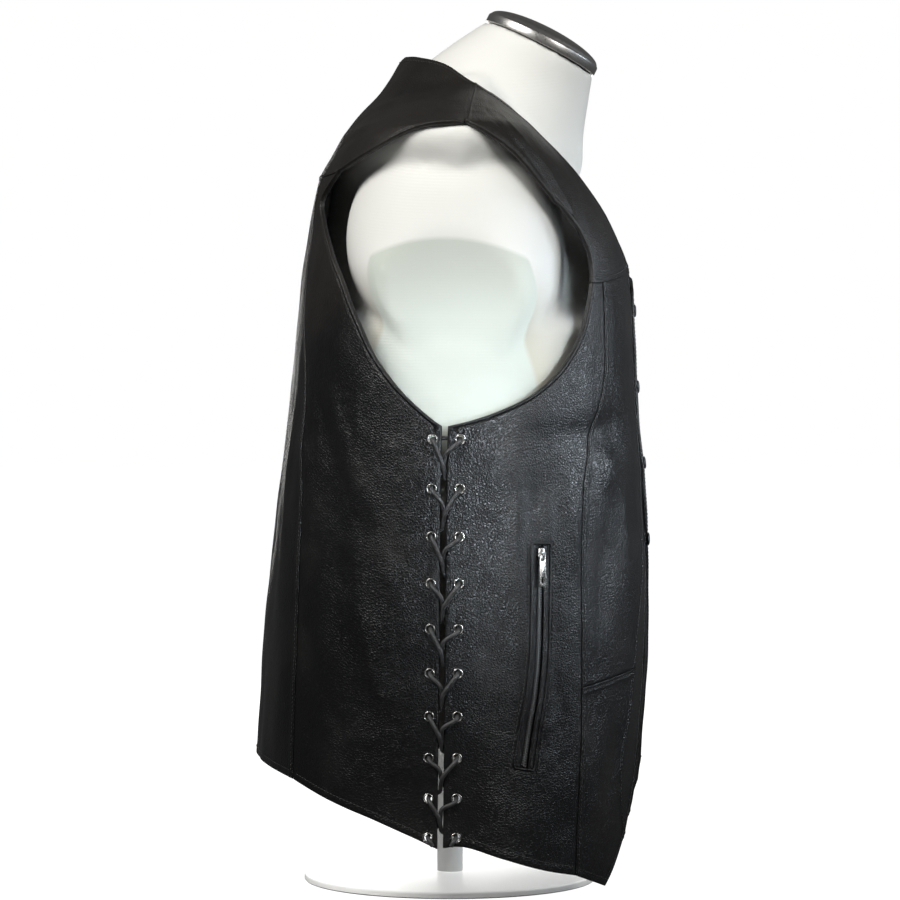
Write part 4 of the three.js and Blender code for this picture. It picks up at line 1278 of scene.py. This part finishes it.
def form_ring(z, sides):
    """A ring of the torso, inside the vest: slimmer at the waist and beside the stumps."""
    angle = 270 - 360 * np.arange(sides) / sides
    right = np.where(angle > 90, 180 - angle, angle)
    sideways = np.cos(np.radians(np.clip(right, -90, 90))) ** 2
    below_shoulder = smoothstep(638 - z, 0, 70)
    waist = 1 - smoothstep(z, 320, 395)
    chest = smoothstep(z, 468, 500) * (1 - smoothstep(z, 575, 630))
    hollow = 2 * np.sqrt(sideways * (1 - sideways))
    inset = LEATHER + 1.1 + below_shoulder * (6 + (24 + 32 * waist) * sideways) + 38 * chest * hollow
    height = np.full(sides, float(z))
    points = skin_point(angle, height, 1, False)
    return points - skin_normal(angle, height, 1, False) * inset[:, None]


def stump_rings(count, sides, side):
    """Rings of a shoulder's stump, cut flat by its arm plate."""
    rows = smooth_line(np.stack([STUMP[name] for name in ("z", "y", "deep", "reach", "power")], -1), count)
    turn = 2 * np.pi * np.arange(sides) / sides * side
    rings = []
    for z, y, deep, reach, power in rows:
        x = np.minimum(STUMP_MIDDLE + reach * signed_power(np.cos(turn), 2 / power), arm_plate(z))
        along = y + deep * signed_power(np.sin(turn), 2 / power)
        rings.append(np.stack((side * x, along, np.full(sides, z)), -1))
    return rings


def neck_rings(count, sides):
    """Rings of the leaning neck. The last is cut square to it, for the cap."""
    rows = np.stack([NECK[name] for name in ("y", "z", "across", "deep", "tilt")], -1)
    turn = 2 * np.pi * np.arange(sides) / sides
    rings = []
    for y, z, across, deep, tilt in smooth_line(rows, count):
        lean = math.radians(tilt)
        back = deep * np.sin(turn)
        along, height = y + back * math.cos(lean), z + back * math.sin(lean)
        rings.append(np.stack((across * np.cos(turn), along, height), -1))
    return rings


# Sizes and colours that a user may change


class VestLeatherSettings(bpy.types.PropertyGroup):
    """The leather's colour, grain and mesh."""

    colour: bpy.props.FloatVectorProperty(
        name="Leather colour", description="Colour of the leather in shade", subtype="COLOR",
        default=(0.0030, 0.0031, 0.0036), min=0.0, max=1.0)
    # The worn colour serves both handled patches and the painted light high on the shoulders
    handled_and_lit_colour: bpy.props.FloatVectorProperty(
        name="Worn colour", description="Colour of the leather where it has been handled",
        subtype="COLOR", default=(0.0145, 0.0125, 0.0108), min=0.0, max=1.0)
    roughness: bpy.props.FloatProperty(
        name="Roughness", description="How dull the leather is", default=0.33, min=0.1, max=1.0)
    sheen: bpy.props.FloatProperty(
        name="Sheen", description="How strongly the leather reflects the lights", default=0.36,
        min=0.0, max=1.0)
    grain: bpy.props.FloatProperty(
        name="Grain", description="Distance between the leather's pebbles", default=0.0021,
        min=0.0005, max=0.01, precision=4, unit="LENGTH")
    mesh_step: bpy.props.FloatProperty(
        name="Mesh step", description="Distance between the points of a panel's net",
        default=0.005, min=0.002, max=0.02, precision=4, unit="LENGTH")


class VestThreadSettings(bpy.types.PropertyGroup):
    """The topstitching's thread."""

    colour: bpy.props.FloatVectorProperty(
        name="Thread colour", description="Colour of the topstitching", subtype="COLOR",
        default=(0.014, 0.0137, 0.0137), min=0.0, max=1.0)
    length: bpy.props.FloatProperty(
        name="Stitch length", description="Length of one stitch with its gap", default=0.0034,
        min=0.001, max=0.01, precision=4, unit="LENGTH")
    thickness: bpy.props.FloatProperty(
        name="Thread thickness", description="Diameter of the thread", default=0.0008,
        min=0.0002, max=0.002, precision=4, unit="LENGTH")


class VestMetalSettings(bpy.types.PropertyGroup):
    """Eyelets, zips and snaps."""

    colour: bpy.props.FloatVectorProperty(
        name="Nickel colour", description="Colour of the plated metal", subtype="COLOR",
        default=(0.52, 0.51, 0.495), min=0.0, max=1.0)
    eyelet: bpy.props.FloatProperty(
        name="Eyelet size", description="Diameter across an eyelet's rim", default=0.0084,
        min=0.006, max=0.015, precision=4, unit="LENGTH")
    eyelet_hole: bpy.props.FloatProperty(
        name="Eyelet hole", description="Diameter of an eyelet's hole", default=0.0062,
        min=0.003, max=0.01, precision=4, unit="LENGTH")


class VestLaceSettings(bpy.types.PropertyGroup):
    """The side laces."""

    colour: bpy.props.FloatVectorProperty(
        name="Lace colour", description="Colour of the laces", subtype="COLOR",
        default=(0.03, 0.03, 0.031), min=0.0, max=1.0)
    thickness: bpy.props.FloatProperty(
        name="Lace thickness", description="Diameter of a lace", default=0.0035,
        min=0.001, max=0.005, precision=4, unit="LENGTH")


class VestFormSettings(bpy.types.PropertyGroup):
    """The dress form and its stand."""

    colour: bpy.props.FloatVectorProperty(
        name="Form colour", description="Colour of the form's cloth", subtype="COLOR",
        default=(0.80, 0.80, 0.765), min=0.0, max=1.0)
    plate: bpy.props.FloatVectorProperty(
        name="Plate colour", description="Colour of the flat plates that close the arm stumps",
        subtype="COLOR", default=(0.68, 0.72, 0.65), min=0.0, max=1.0)
    paint: bpy.props.FloatVectorProperty(
        name="Stand colour", description="Colour of the stand's paint", subtype="COLOR",
        default=(0.88, 0.88, 0.87), min=0.0, max=1.0)
    voxel: bpy.props.FloatProperty(
        name="Form mesh step", description="Distance between the points of the form's mesh",
        default=0.0045, min=0.003, max=0.02, precision=4, unit="LENGTH")


class VestStageSettings(bpy.types.PropertyGroup):
    """The floor and the studio light."""

    floor: bpy.props.FloatVectorProperty(
        name="Floor colour", description="Colour of the floor", subtype="COLOR",
        default=(0.3, 0.3, 0.3), min=0.0, max=1.0)
    floor_glow: bpy.props.FloatProperty(
        name="Floor glow", description="Even light that the pale floor gives", default=1.0,
        min=0.0, max=2.0)
    side: bpy.props.FloatProperty(
        name="Side light", description="Power of the large light behind the right side",
        default=33.0, min=0.0, max=1000.0, unit="POWER")
    rear: bpy.props.FloatProperty(
        name="Rear light", description="Power of the large light behind the right shoulder",
        default=11.0, min=0.0, max=1000.0, unit="POWER")
    front: bpy.props.FloatProperty(
        name="Front light", description="Power of the large light before the right side",
        default=20.0, min=0.0, max=1000.0, unit="POWER")
    left: bpy.props.FloatProperty(
        name="Left light", description="Power of the large light on the left side and back",
        default=10.0, min=0.0, max=1000.0, unit="POWER")
    lacing: bpy.props.FloatProperty(
        name="Lacing light", description="Power of the narrow light on the laced side",
        default=0.2, min=0.0, max=100.0, unit="POWER")
    pocket: bpy.props.FloatProperty(
        name="Pocket light", description="Power of the narrow light on the zip pocket",
        default=0.2, min=0.0, max=100.0, unit="POWER")
    chest: bpy.props.FloatProperty(
        name="Chest light", description="Power of the narrow light on the front panels",
        default=0.54, min=0.0, max=100.0, unit="POWER")
    stand: bpy.props.FloatProperty(
        name="Stand light", description="Power of the soft light on the stand", default=32.0,
        min=0.0, max=1000.0, unit="POWER")
    fill: bpy.props.FloatProperty(
        name="Fill", description="Brightness of the room's even light", default=0.085,
        min=0.0, max=2.0)


# Operators


class VEST_OT_stage(bpy.types.Operator):
    """Make the floor, the studio light and the camera"""

    bl_idname = "vest.stage"
    bl_label = "Stage and camera"

    def execute(self, context):
        settings = context.scene.vest_stage
        self.make_floor(settings)
        self.make_world(context, settings.fill)
        for name, power, *facts in LIGHTS:
            self.studio_light(name, getattr(settings, power), *facts)
        self.make_camera(context)
        context.scene.view_settings.view_transform = "Standard"
        return {"FINISHED"}

    def make_floor(self, settings):
        half = 60000
        corners = [(-half, -half, 0), (half, -half, 0), (half, half, 0), (-half, half, 0)]
        nodes = Nodes("studio_floor", tuple(settings.floor), 0.95)
        nodes.shader.inputs["Emission Color"].default_value = (1, 1, 1, 1)
        nodes.shader.inputs["Emission Strength"].default_value = settings.floor_glow
        floor = new_object("studio_floor", corners, [(0, 1, 2, 3)], (nodes.material,), smooth=False)
        floor.visible_diffuse = False
        floor.visible_glossy = False

    def make_world(self, context, fill):
        world = bpy.data.worlds.new("studio")
        world.use_nodes = True
        tree = world.node_tree
        background = tree.nodes["Background"]
        background.inputs["Color"].default_value = (1, 1, 1, 1)
        rays = tree.nodes.new("ShaderNodeLightPath")
        strength = tree.nodes.new("ShaderNodeMapRange")
        strength.inputs["To Min"].default_value = fill
        strength.inputs["To Max"].default_value = 1.0
        tree.links.new(rays.outputs["Is Camera Ray"], strength.inputs["Value"])
        tree.links.new(strength.outputs["Result"], background.inputs["Strength"])
        context.scene.world = world

    def studio_light(self, name, power, size, azimuth, elevation, distance, aim, spread, colour):
        turn, rise = math.radians(azimuth), math.radians(elevation)
        away = Vector((math.sin(turn) * math.cos(rise), -math.cos(turn) * math.cos(rise), math.sin(rise)))
        light = area_light(name, power, size, Vector((0, 0, aim)) + away * distance, away)
        light.data.spread = math.radians(spread)
        light.data.color = colour

    def make_camera(self, context):
        data = bpy.data.cameras.new("camera")
        data.sensor_width = SENSOR
        data.lens = CAMERA_LENS
        data.clip_end = 100
        turn = math.radians(CAMERA_AZIMUTH)
        away = Vector((math.sin(turn), -math.cos(turn), 0))
        camera = bpy.data.objects.new("camera", data)
        camera.location = away * CAMERA_DISTANCE + Vector((0, 0, CAMERA_HEIGHT))
        camera.rotation_euler = away.to_track_quat("Z", "Y").to_euler()
        context.scene.collection.objects.link(camera)
        context.scene.camera = camera


class VEST_OT_dress_form(bpy.types.Operator):
    """Make the cloth-covered form, its neck cap and its stand"""

    bl_idname = "vest.dress_form"
    bl_label = "Dress form"

    def execute(self, context):
        settings = context.scene.vest_form
        cloth = material("cream_jersey", form_cloth_material, tuple(settings.colour), tuple(settings.plate))
        heights = np.concatenate((np.arange(FORM_BOTTOM + 2, FORM_TOP, 7.0), [FORM_TOP]))
        rings = [form_ring(z, FORM_SIDES) for z in heights]
        foot = rings[0].copy()
        foot[:, :2] *= 0.97
        foot[:, 2] = FORM_BOTTOM
        parts = [loft([foot] + rings), loft(neck_rings(24, NECK_SIDES))]
        parts += [loft(stump_rings(60, FORM_SIDES, side)) for side in (-1, 1)]
        vertices, faces = join_parts(parts)
        form = new_object("dress_form", vertices, faces, (cloth,))
        remesh = form.modifiers.new("skin", "REMESH")
        remesh.mode = "VOXEL"
        remesh.voxel_size = settings.voxel
        soften = form.modifiers.new("soften", "SMOOTH")
        soften.factor = 0.5
        soften.iterations = 3
        apply_modifiers(form)
        form.data.shade_smooth()
        finish_piece(form, "form_cloth", "form_torso")
        self.cap()
        self.stand(context, settings)
        return {"FINISHED"}

    def cap(self):
        profile = [(0, 0), (51.2, 0), (51.8, 0.25), (52, 0.8), (52, 6.4), (51.7, 7.3), (51, 7.9)]
        dome = [(50.6 * math.cos(t), 7.9 + 11.1 * math.sin(t)) for t in np.linspace(0.12, math.pi / 2, 18)]
        dome[-1] = (0, 19)
        tilt = math.radians(NECK["tilt"][-1])
        place = Matrix.Translation((0, NECK["y"][-1], NECK["z"][-1])) @ Matrix.Rotation(tilt, 4, "X")
        place = place @ Matrix.Translation((0, 0, SEAT_GAP))
        vertices, faces = lathe(profile + dome, 96, place)
        piece = new_object("neck_cap", vertices, faces, (material("brushed_silver", cap_material),))
        sharpen(piece, 35)
        finish_piece(piece, "cap_metal", "form_neck_cap")

    def stand_light(self, context, base):
        """A soft light from above that falls on the stand's base alone."""
        lit = bpy.data.collections.new("stand_lit")
        lit.objects.link(base)
        light = area_light(
            "stand_light", context.scene.vest_stage.stand, 1.5, Vector((-0.6, 0, 1.6)), Vector((-0.35, 0, 1)))
        light.light_linking.receiver_collection = lit
        light.light_linking.blocker_collection = lit

    def stand(self, context, settings):
        low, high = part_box("stand_pole")
        radius = (high.x - low.x) / 2 / MM
        low, high = low.z / MM, high.z / MM
        ease = 0.6
        profile = [(0, low), (radius - ease, low), (radius, low + ease), (radius, high - ease),
                   (radius - ease, high), (0, high)]
        self.turned_piece("stand_pole_tube", profile, 48, settings, "stand_pole")
        low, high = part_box("stand_base")
        radius, top = (high.x - low.x) / 2 / MM, high.z / MM
        rim = [(radius - 2 + 2 * math.sin(t), top - 2 + 2 * math.cos(t))
               for t in np.linspace(math.pi / 2, 0, 7)]
        profile = [(0, 0), (radius - 1, 0), (radius, 1)] + rim + [(0, top)]
        base = self.turned_piece("stand_base_plate", profile, 128, settings, "stand_base")
        self.stand_light(context, base)

    def turned_piece(self, name, profile, sides, settings, solid):
        """A painted part of the stand, turned about its upright axis."""
        paint = material("satin_white_paint", paint_material, tuple(settings.paint))
        piece = new_object(name, *lathe(profile, sides, Matrix.Identity(4)), (paint,))
        sharpen(piece, 35)
        return finish_piece(piece, "stand_paint", solid)


class VEST_OT_back_panels(bpy.types.Operator):
    """Sew the back: its yoke, its centre and its two sides"""

    bl_idname = "vest.back_panels"
    bl_label = "Back panels"

    def execute(self, context):
        for name, panel in (("back_yoke", back_yoke_panel()), ("back_centre", back_centre_panel())):
            piece = panel_object(context, f"{name}_leather", panel)
            finish_piece(piece, "leather", name)
        for place, side in SIDES.items():
            panel = right_panels(side)["back_side"]
            piece = panel_object(context, f"back_side_{place}_leather", panel, side < 0)
            cut_openings(piece, lacing_cutters(context, EYELET_BACK, side))
            finish_piece(piece, "leather", f"back_side_{place}")
        return {"FINISHED"}


class VEST_OT_front_panels(bpy.types.Operator):
    """Sew the fronts: yokes, upper and lower panels, side panels and bands"""

    bl_idname = "vest.front_panels"
    bl_label = "Front panels"

    def execute(self, context):
        for place, side in SIDES.items():
            panels = right_panels(side)
            for name in ("front_yoke", "front_upper", "front_lower", "front_side"):
                piece = panel_object(context, f"{name}_{place}_leather", panels[name], side < 0)
                if name == "front_side":
                    cutters = lacing_cutters(context, -EYELET_FRONT, side) + [window_cutter(side)]
                    cut_openings(piece, cutters)
                finish_piece(piece, "leather", f"{name}_{place}")
            band = panel_object(context, f"front_band_{place}_leather", band_panel(side), side < 0)
            finish_piece(band, "leather", f"front_band_{place}")
        return {"FINISHED"}


def lacing_cutters(context, across, side):
    """Round punches for one column of eyelets."""
    radius = context.scene.vest_metal.eyelet_hole / MM / 2 + 0.5
    parts = []
    for row in range(LACING_ROWS):
        place = lacing_place(row, across)
        matrix = turned_to(skin_normal(*place, side), off_skin(*place, 0, side))
        part = lathe([(0, -7), (radius, -7), (radius, 6), (0, 6)], 20, matrix)
        parts.append(sided(part, side))
    return parts


def window_cutter(side):
    """The zip window, with its corners a little rounded by the row of its ends."""
    half = WINDOW_WIDTH / 2
    rows = np.linspace(0, 1, 40)
    ends = np.array([0.0, 0.006, 0.015])
    shares = np.concatenate((ends, rows[1:-1], 1 - ends[::-1]))
    pull = np.concatenate(((1.6, 0.5, 0), np.zeros(38), (0, 0.5, 1.6)))
    across = np.linspace(-half, half, 5)
    nets = []
    for out in (8.0, -8.0):
        net = [zip_points([share], across * (1 - inward / half), np.full(5, out))[0]
               for share, inward in zip(shares, pull)]
        nets.append(np.array(net))
    return sided(strip_between(*nets), side)


def cut_openings(piece, cutters):
    """Cuts holes through a panel."""
    vertices, faces = join_parts(cutters)
    cutter = new_object("cutter", vertices, faces, (), smooth=False)
    cutting = piece.modifiers.new("cut", "BOOLEAN")
    cutting.operation = "DIFFERENCE"
    cutting.solver = "EXACT"
    cutting.object = cutter
    apply_modifiers(piece)
    sharpen(piece, 50)
    old = cutter.data
    bpy.data.objects.remove(cutter)
    bpy.data.meshes.remove(old)


def zip_tooth(share, sign):
    """One pressed tooth, reaching across from the tape on its own side."""
    rings = []
    for across, thick in TOOTH_SECTIONS:
        rings.append([(sign * across, -thick, TOOTH_FOOT), (sign * across, thick, TOOTH_FOOT),
                      (sign * across, thick * 0.8, TOOTH_TOP), (sign * across, -thick * 0.8, TOOTH_TOP)])
    points = np.array(rings).reshape(-1, 3)
    local = np.hstack((points, np.ones((len(points), 1)))) @ np.array(zip_frame(share)).T[:, :3]
    return local, [face[::sign] for face in ring_faces(len(rings), 4)]


class VEST_OT_zip_pockets(bpy.types.Operator):
    """Make the zip pockets: rims, welts, tapes, teeth, sliders and pulls"""

    bl_idname = "vest.zip_pockets"
    bl_label = "Zip pockets"

    def execute(self, context):
        for place, side in SIDES.items():
            self.rim(context, place, side)
            self.welts(context, place, side)
            self.tape(place, side)
            self.teeth(place, side)
            self.slider_and_pull(context, place)
        return {"FINISHED"}

    def rim(self, context, place, side):
        """The turned edge of the window, a thin roll all round it."""
        half = WINDOW_WIDTH / 2 + 0.3
        shares = np.linspace(0.008, 0.992, 60)
        up = [zip_points([s], np.array([half]), np.array([0.1]))[0][0] for s in shares]
        down = [zip_points([s], np.array([-half]), np.array([0.1]))[0][0] for s in shares[::-1]]
        across = np.linspace(half - 1.2, -half + 1.2, 8)
        top = zip_points([1.002], across, np.full(8, 0.1))[0]
        foot = zip_points([-0.002], across[::-1], np.full(8, 0.35))[0]
        line = np.vstack((up, top, down, foot))
        part = sided(tube(line, 0.95, 10, closed=True), side)
        piece = new_object(f"window_rim_{place}", *part, (leather(context),))
        finish_piece(piece, "leather")

    def welts(self, context, place, side):
        near, far = WELT_GAP / 2, WINDOW_WIDTH / 2 - 0.1
        for name, sign, rise in (("welt_rear", 1, 1.25), ("welt_front", -1, 0.9)):
            across = np.linspace(near, far, 11)
            arch = np.sin(np.linspace(0.25, math.pi - 0.35, 11))
            shares = np.linspace(0.006, 0.994, 50)
            outer = zip_points(shares, sign * across, arch * rise - 0.75)
            inner = zip_points(shares, sign * across, arch * rise * 0.4 - 2.2)
            if sign < 0:
                outer, inner = outer[:, ::-1], inner[:, ::-1]
            vertices, faces = strip_between(outer, inner)
            piece = new_object(f"{name}_{place}_roll", *sided((vertices, faces), side), (leather(context),))
            sharpen(piece, 50)
            finish_piece(piece, "leather", f"{name}_{place}")

    def tape(self, place, side):
        half = TAPE_WIDTH / 2
        across = np.linspace(-half, half, 27)
        ridge = 1.2 * np.exp(-((np.abs(across) - 1.9) / 1.0) ** 2)
        shares = np.linspace(-0.03, 1.03, 90)
        outer = zip_points(shares, across, ridge - 3.3)
        inner = zip_points(shares, across, ridge * 0 - 4.0)
        part = sided(strip_between(outer, inner), side)
        piece = new_object(f"zip_tape_{place}_weave", *part, (material("zip_tape_weave", tape_material),))
        finish_piece(piece, "zip_tape", f"zip_tape_{place}")

    def teeth(self, place, side):
        """Pressed metal teeth: those of one tape stand between those of the other."""
        parts = []
        count = int(ZIP_LENGTH * (SLIDER_PLACE - 0.04) / TOOTH_PITCH)
        for tooth in range(count):
            share = 0.012 + tooth * TOOTH_PITCH / ZIP_LENGTH
            parts.append(zip_tooth(share, 1))
            parts.append(zip_tooth(share + 0.5 * TOOTH_PITCH / ZIP_LENGTH, -1))
        part = sided(join_parts(parts), side)
        metal = material("gunmetal_teeth", teeth_material)
        piece = new_object(f"zip_teeth_{place}", *part, (metal,), smooth=False)
        finish_piece(piece, "nickel")

    def slider_and_pull(self, context, place):
        """The solids' own slider and pull, with their edges eased."""
        for name, body in (("zip_slider", "root"), ("zip_pull", f"pull_{place}")):
            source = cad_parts[f"{name}_{place}"]
            mesh = source.data.copy()
            shape = bmesh.new()
            shape.from_mesh(mesh)
            bmesh.ops.remove_doubles(shape, verts=shape.verts, dist=1e-6)
            bmesh.ops.dissolve_limit(shape, angle_limit=math.radians(2), verts=shape.verts, edges=shape.edges)
            shape.to_mesh(mesh)
            shape.free()
            mesh.materials.clear()
            mesh.materials.append(nickel(context))
            piece = bpy.data.objects.new(f"{name}_{place}_plated", mesh)
            bpy.context.scene.collection.objects.link(piece)
            easing = piece.modifiers.new("ease", "BEVEL")
            easing.width = 0.00022
            easing.segments = 2
            easing.limit_method = "ANGLE"
            easing.angle_limit = math.radians(35)
            easing.use_clamp_overlap = True
            apply_modifiers(piece)
            piece.data.shade_smooth()
            sharpen(piece, 40)
            finish_piece(piece, "nickel", f"{name}_{place}", body=body)


class VEST_OT_side_lacing(bpy.types.Operator):
    """Set the eyelets and run the laces through them"""

    bl_idname = "vest.side_lacing"
    bl_label = "Side lacing"

    def execute(self, context):
        metal = context.scene.vest_metal
        rim, hole = metal.eyelet / MM / 2, metal.eyelet_hole / MM / 2
        arc = [(hole + (rim - hole) * (1 - math.cos(t)) / 2, 0.35 + 0.75 * math.sin(t))
               for t in np.linspace(0, math.pi, 9)]
        wall, foot, under = 0.35, -2.9, 0.1
        profile = [(hole, foot), *arc, (rim - 0.2, under), (hole + wall, under), (hole + wall, foot),
                   (hole, foot)]
        lace = context.scene.vest_lace
        for place, side in SIDES.items():
            parts = []
            for across in (-EYELET_FRONT, EYELET_BACK):
                for row in range(LACING_ROWS):
                    spot = lacing_place(row, across)
                    matrix = turned_to(skin_normal(*spot, side), off_skin(*spot, 0, side))
                    parts.append(sided(lathe(profile[::-1], 28, matrix), side))
            eyelets = new_object(f"eyelets_{place}", *join_parts(parts), (nickel(context),))
            finish_piece(eyelets, "nickel")
            line = smooth_line(lace_route(), 900)
            colour = material("lace_leather", lace_material, tuple(lace.colour))
            part = sided(tube(line, lace.thickness / MM / 2, 12), side)
            piece = new_object(f"side_lace_{place}_leather", *part, (colour,))
            sharpen(piece, 60)
            finish_piece(piece, "lace", f"side_lace_{place}")
        return {"FINISHED"}


class VEST_OT_snaps(bpy.types.Operator):
    """Set the snap caps on the left band"""

    bl_idname = "vest.snaps"
    bl_label = "Snaps"

    def execute(self, context):
        curve = [(SNAP_RADIUS * math.cos(t) ** 0.6, 0.5 + (SNAP_RISE - 0.5) * math.sin(t) ** 1.3)
                 for t in np.linspace(0.02, math.pi / 2 - 0.02, 12)]
        profile = [(0, 0), (SNAP_RADIUS - 0.4, 0), (SNAP_RADIUS - 0.1, 0.2), *curve, (0, SNAP_RISE)]
        enamel = material("black_enamel", enamel_material)
        for number, z in enumerate(SNAP_HEIGHTS, 1):
            matrix = turned_to(skin_normal(270, z), off_skin(270, z, BAND_STEP + SEAT_GAP))
            vertices, faces = lathe(profile, 36, matrix)
            piece = new_object(f"snap_{number}_cap", vertices, faces, (enamel,))
            finish_piece(piece, "black_enamel", f"snap_{number}")
        return {"FINISHED"}


def stitch_parts(points, normals, pitch, thickness):
    """Stitches along a line: short threads that rise from the leather and go back in."""
    length = np.concatenate(([0], np.cumsum(np.linalg.norm(np.diff(points, axis=0), axis=1))))
    count = int(length[-1] / pitch)
    parts = []
    shares = np.array((0.0, 0.18, 0.5, 0.82, 1.0)) * 0.78
    lifts = np.array((-0.45, 0.12, 0.32, 0.12, -0.45))
    for stitch in range(count):
        wanted = (stitch + 0.1 + shares) * pitch
        line = np.stack([np.interp(wanted, length, points[:, k]) for k in range(3)], -1)
        up = np.stack([np.interp(wanted, length, normals[:, k]) for k in range(3)], -1)
        parts.append(tube(line + up * (lifts * thickness)[:, None], thickness / 2, 6, lean=up))
    return parts


class VEST_OT_topstitching(bpy.types.Operator):
    """Sew the rows of stitches beside the seams, hems and zip windows"""

    bl_idname = "vest.topstitching"
    bl_label = "Topstitching"

    def execute(self, context):
        settings = context.scene.vest_thread
        pitch, thickness = settings.length / MM, settings.thickness / MM
        rows = (
            ("front_upper", "back", LAP_STITCH, 0.01, 0.99),
            ("front_lower", "back", LAP_STITCH, 0.01, 0.99),
            ("front_upper", "front", LAP_STITCH, 0.01, 0.99),
            ("front_lower", "front", LAP_STITCH, 0.02, 0.98),
            ("front_lower", "top", LAP_STITCH, 0.03, 0.97),
            ("front_lower", "bottom", HEM_STITCH, 0.03, 0.97),
            ("front_yoke", "bottom", LAP_STITCH, 0.02, 0.98),
            ("front_yoke", "top", LAP_STITCH, 0.04, 0.96),
            ("front_yoke", "front", HEM_STITCH, 0.02, 0.98),
            ("front_yoke", "back", BINDING_STITCH, 0.01, 0.99),
            ("front_side", "bottom", HEM_STITCH, 0.02, 0.98),
            ("front_side", "back", BINDING_STITCH, LACED_FRONT + 0.01, 0.99),
            ("back_side", "bottom", HEM_STITCH, 0.02, 0.98),
            ("back_side", "front", BINDING_STITCH, LACED_BACK + 0.01, 0.99),
        )
        for place, side in SIDES.items():
            panels = right_panels(side)
            parts = []
            for name, edge, distance, start, end in rows:
                line, normals = self.row(panels[name], edge, distance, start, end)
                parts += stitch_parts(line, normals, pitch, thickness)
            band = band_panel(side)
            for edge in ("front", "bottom"):
                parts += stitch_parts(*self.row(band, edge, HEM_STITCH, 0.02, 0.98), pitch, thickness)
            parts += self.window_rows(pitch, thickness)
            part = sided(join_parts(parts), side)
            piece = new_object(f"topstitching_{place}", *part, (thread(context),))
            finish_piece(piece, "leather")
        self.back_rows(context, pitch, thickness)
        return {"FINISHED"}

    def row(self, panel, edge, distance, start, end):
        """A line on a panel at a distance from one of its sides."""
        share = np.linspace(start, end, 400)
        if edge in ("front", "back"):
            u = distance / panel.width(share)
            u = u if edge == "front" else 1 - u
            return panel.surface(u, share)
        v = distance / panel.height(share)
        v = v if edge == "bottom" else 1 - v
        return panel.surface(share, v)

    def window_rows(self, pitch, thickness):
        """The row round a zip window."""
        half = WINDOW_WIDTH / 2 + 3.4
        shares = np.linspace(-0.02, 1.02, 60)
        parts = []
        for across in (half, -half):
            line = zip_points(shares, np.array([across]), np.array([0.0]))[:, 0]
            up = np.array([np.array(zip_frame(share))[:3, 2] for share in shares])
            parts += stitch_parts(line, up, pitch, thickness)
        for share in (-0.02, 1.02):
            line = zip_points([share], np.linspace(-half, half, 20), np.zeros(20))[0]
            up = np.broadcast_to(np.array(zip_frame(share))[:3, 2], line.shape)
            parts += stitch_parts(line, up, pitch, thickness)
        return parts

    def back_rows(self, context, pitch, thickness):
        yoke, centre = back_yoke_panel(), back_centre_panel()
        parts = []
        for panel, edge, distance, start, end in (
                (yoke, "bottom", LAP_STITCH, 0.01, 0.99), (yoke, "top", HEM_STITCH, 0.01, 0.99),
                (yoke, "front", BINDING_STITCH, 0.02, YOKE_ARMHOLE),
                (yoke, "back", BINDING_STITCH, 0.02, YOKE_ARMHOLE),
                (centre, "front", LAP_STITCH, 0.01, 0.99), (centre, "back", LAP_STITCH, 0.01, 0.99),
                (centre, "bottom", HEM_STITCH, 0.02, 0.98)):
            parts += stitch_parts(*self.row(panel, edge, distance, start, end), pitch, thickness)
        piece = new_object("topstitching_back", *join_parts(parts), (thread(context),))
        finish_piece(piece, "leather")


class VEST_PT_pieces(bpy.types.Panel):
    """The vest's pieces and their settings"""

    bl_idname = "VEST_PT_pieces"
    bl_label = "Leather vest"
    bl_space_type = "VIEW_3D"
    bl_region_type = "UI"
    bl_category = "Vest"

    def draw(self, context):
        for operator in OPERATORS:
            self.layout.operator(operator.bl_idname)
        for name, group in SETTINGS.items():
            box = self.layout.box()
            for field in group.__annotations__:
                box.prop(getattr(context.scene, name), field)


OPERATORS = (
    VEST_OT_stage,
    VEST_OT_dress_form,
    VEST_OT_back_panels,
    VEST_OT_front_panels,
    VEST_OT_zip_pockets,
    VEST_OT_side_lacing,
    VEST_OT_snaps,
    VEST_OT_topstitching,
)

SETTINGS = {
    "vest_leather": VestLeatherSettings,
    "vest_thread": VestThreadSettings,
    "vest_metal": VestMetalSettings,
    "vest_lace": VestLaceSettings,
    "vest_form": VestFormSettings,
    "vest_stage": VestStageSettings,
}


def register():
    for group in SETTINGS.values():
        bpy.utils.register_class(group)
    for name, group in SETTINGS.items():
        setattr(bpy.types.Scene, name, bpy.props.PointerProperty(type=group))
    for operator in OPERATORS:
        bpy.utils.register_class(operator)
    bpy.utils.register_class(VEST_PT_pieces)


def unregister():
    bpy.utils.unregister_class(VEST_PT_pieces)
    for operator in reversed(OPERATORS):
        bpy.utils.unregister_class(operator)
    for name, group in reversed(SETTINGS.items()):
        delattr(bpy.types.Scene, name)
        bpy.utils.unregister_class(group)


def main():
    register()
    for operator in OPERATORS:
        group, name = operator.bl_idname.split(".")
        getattr(getattr(bpy.ops, group), name)()


if __name__ == "__main__":
    main()
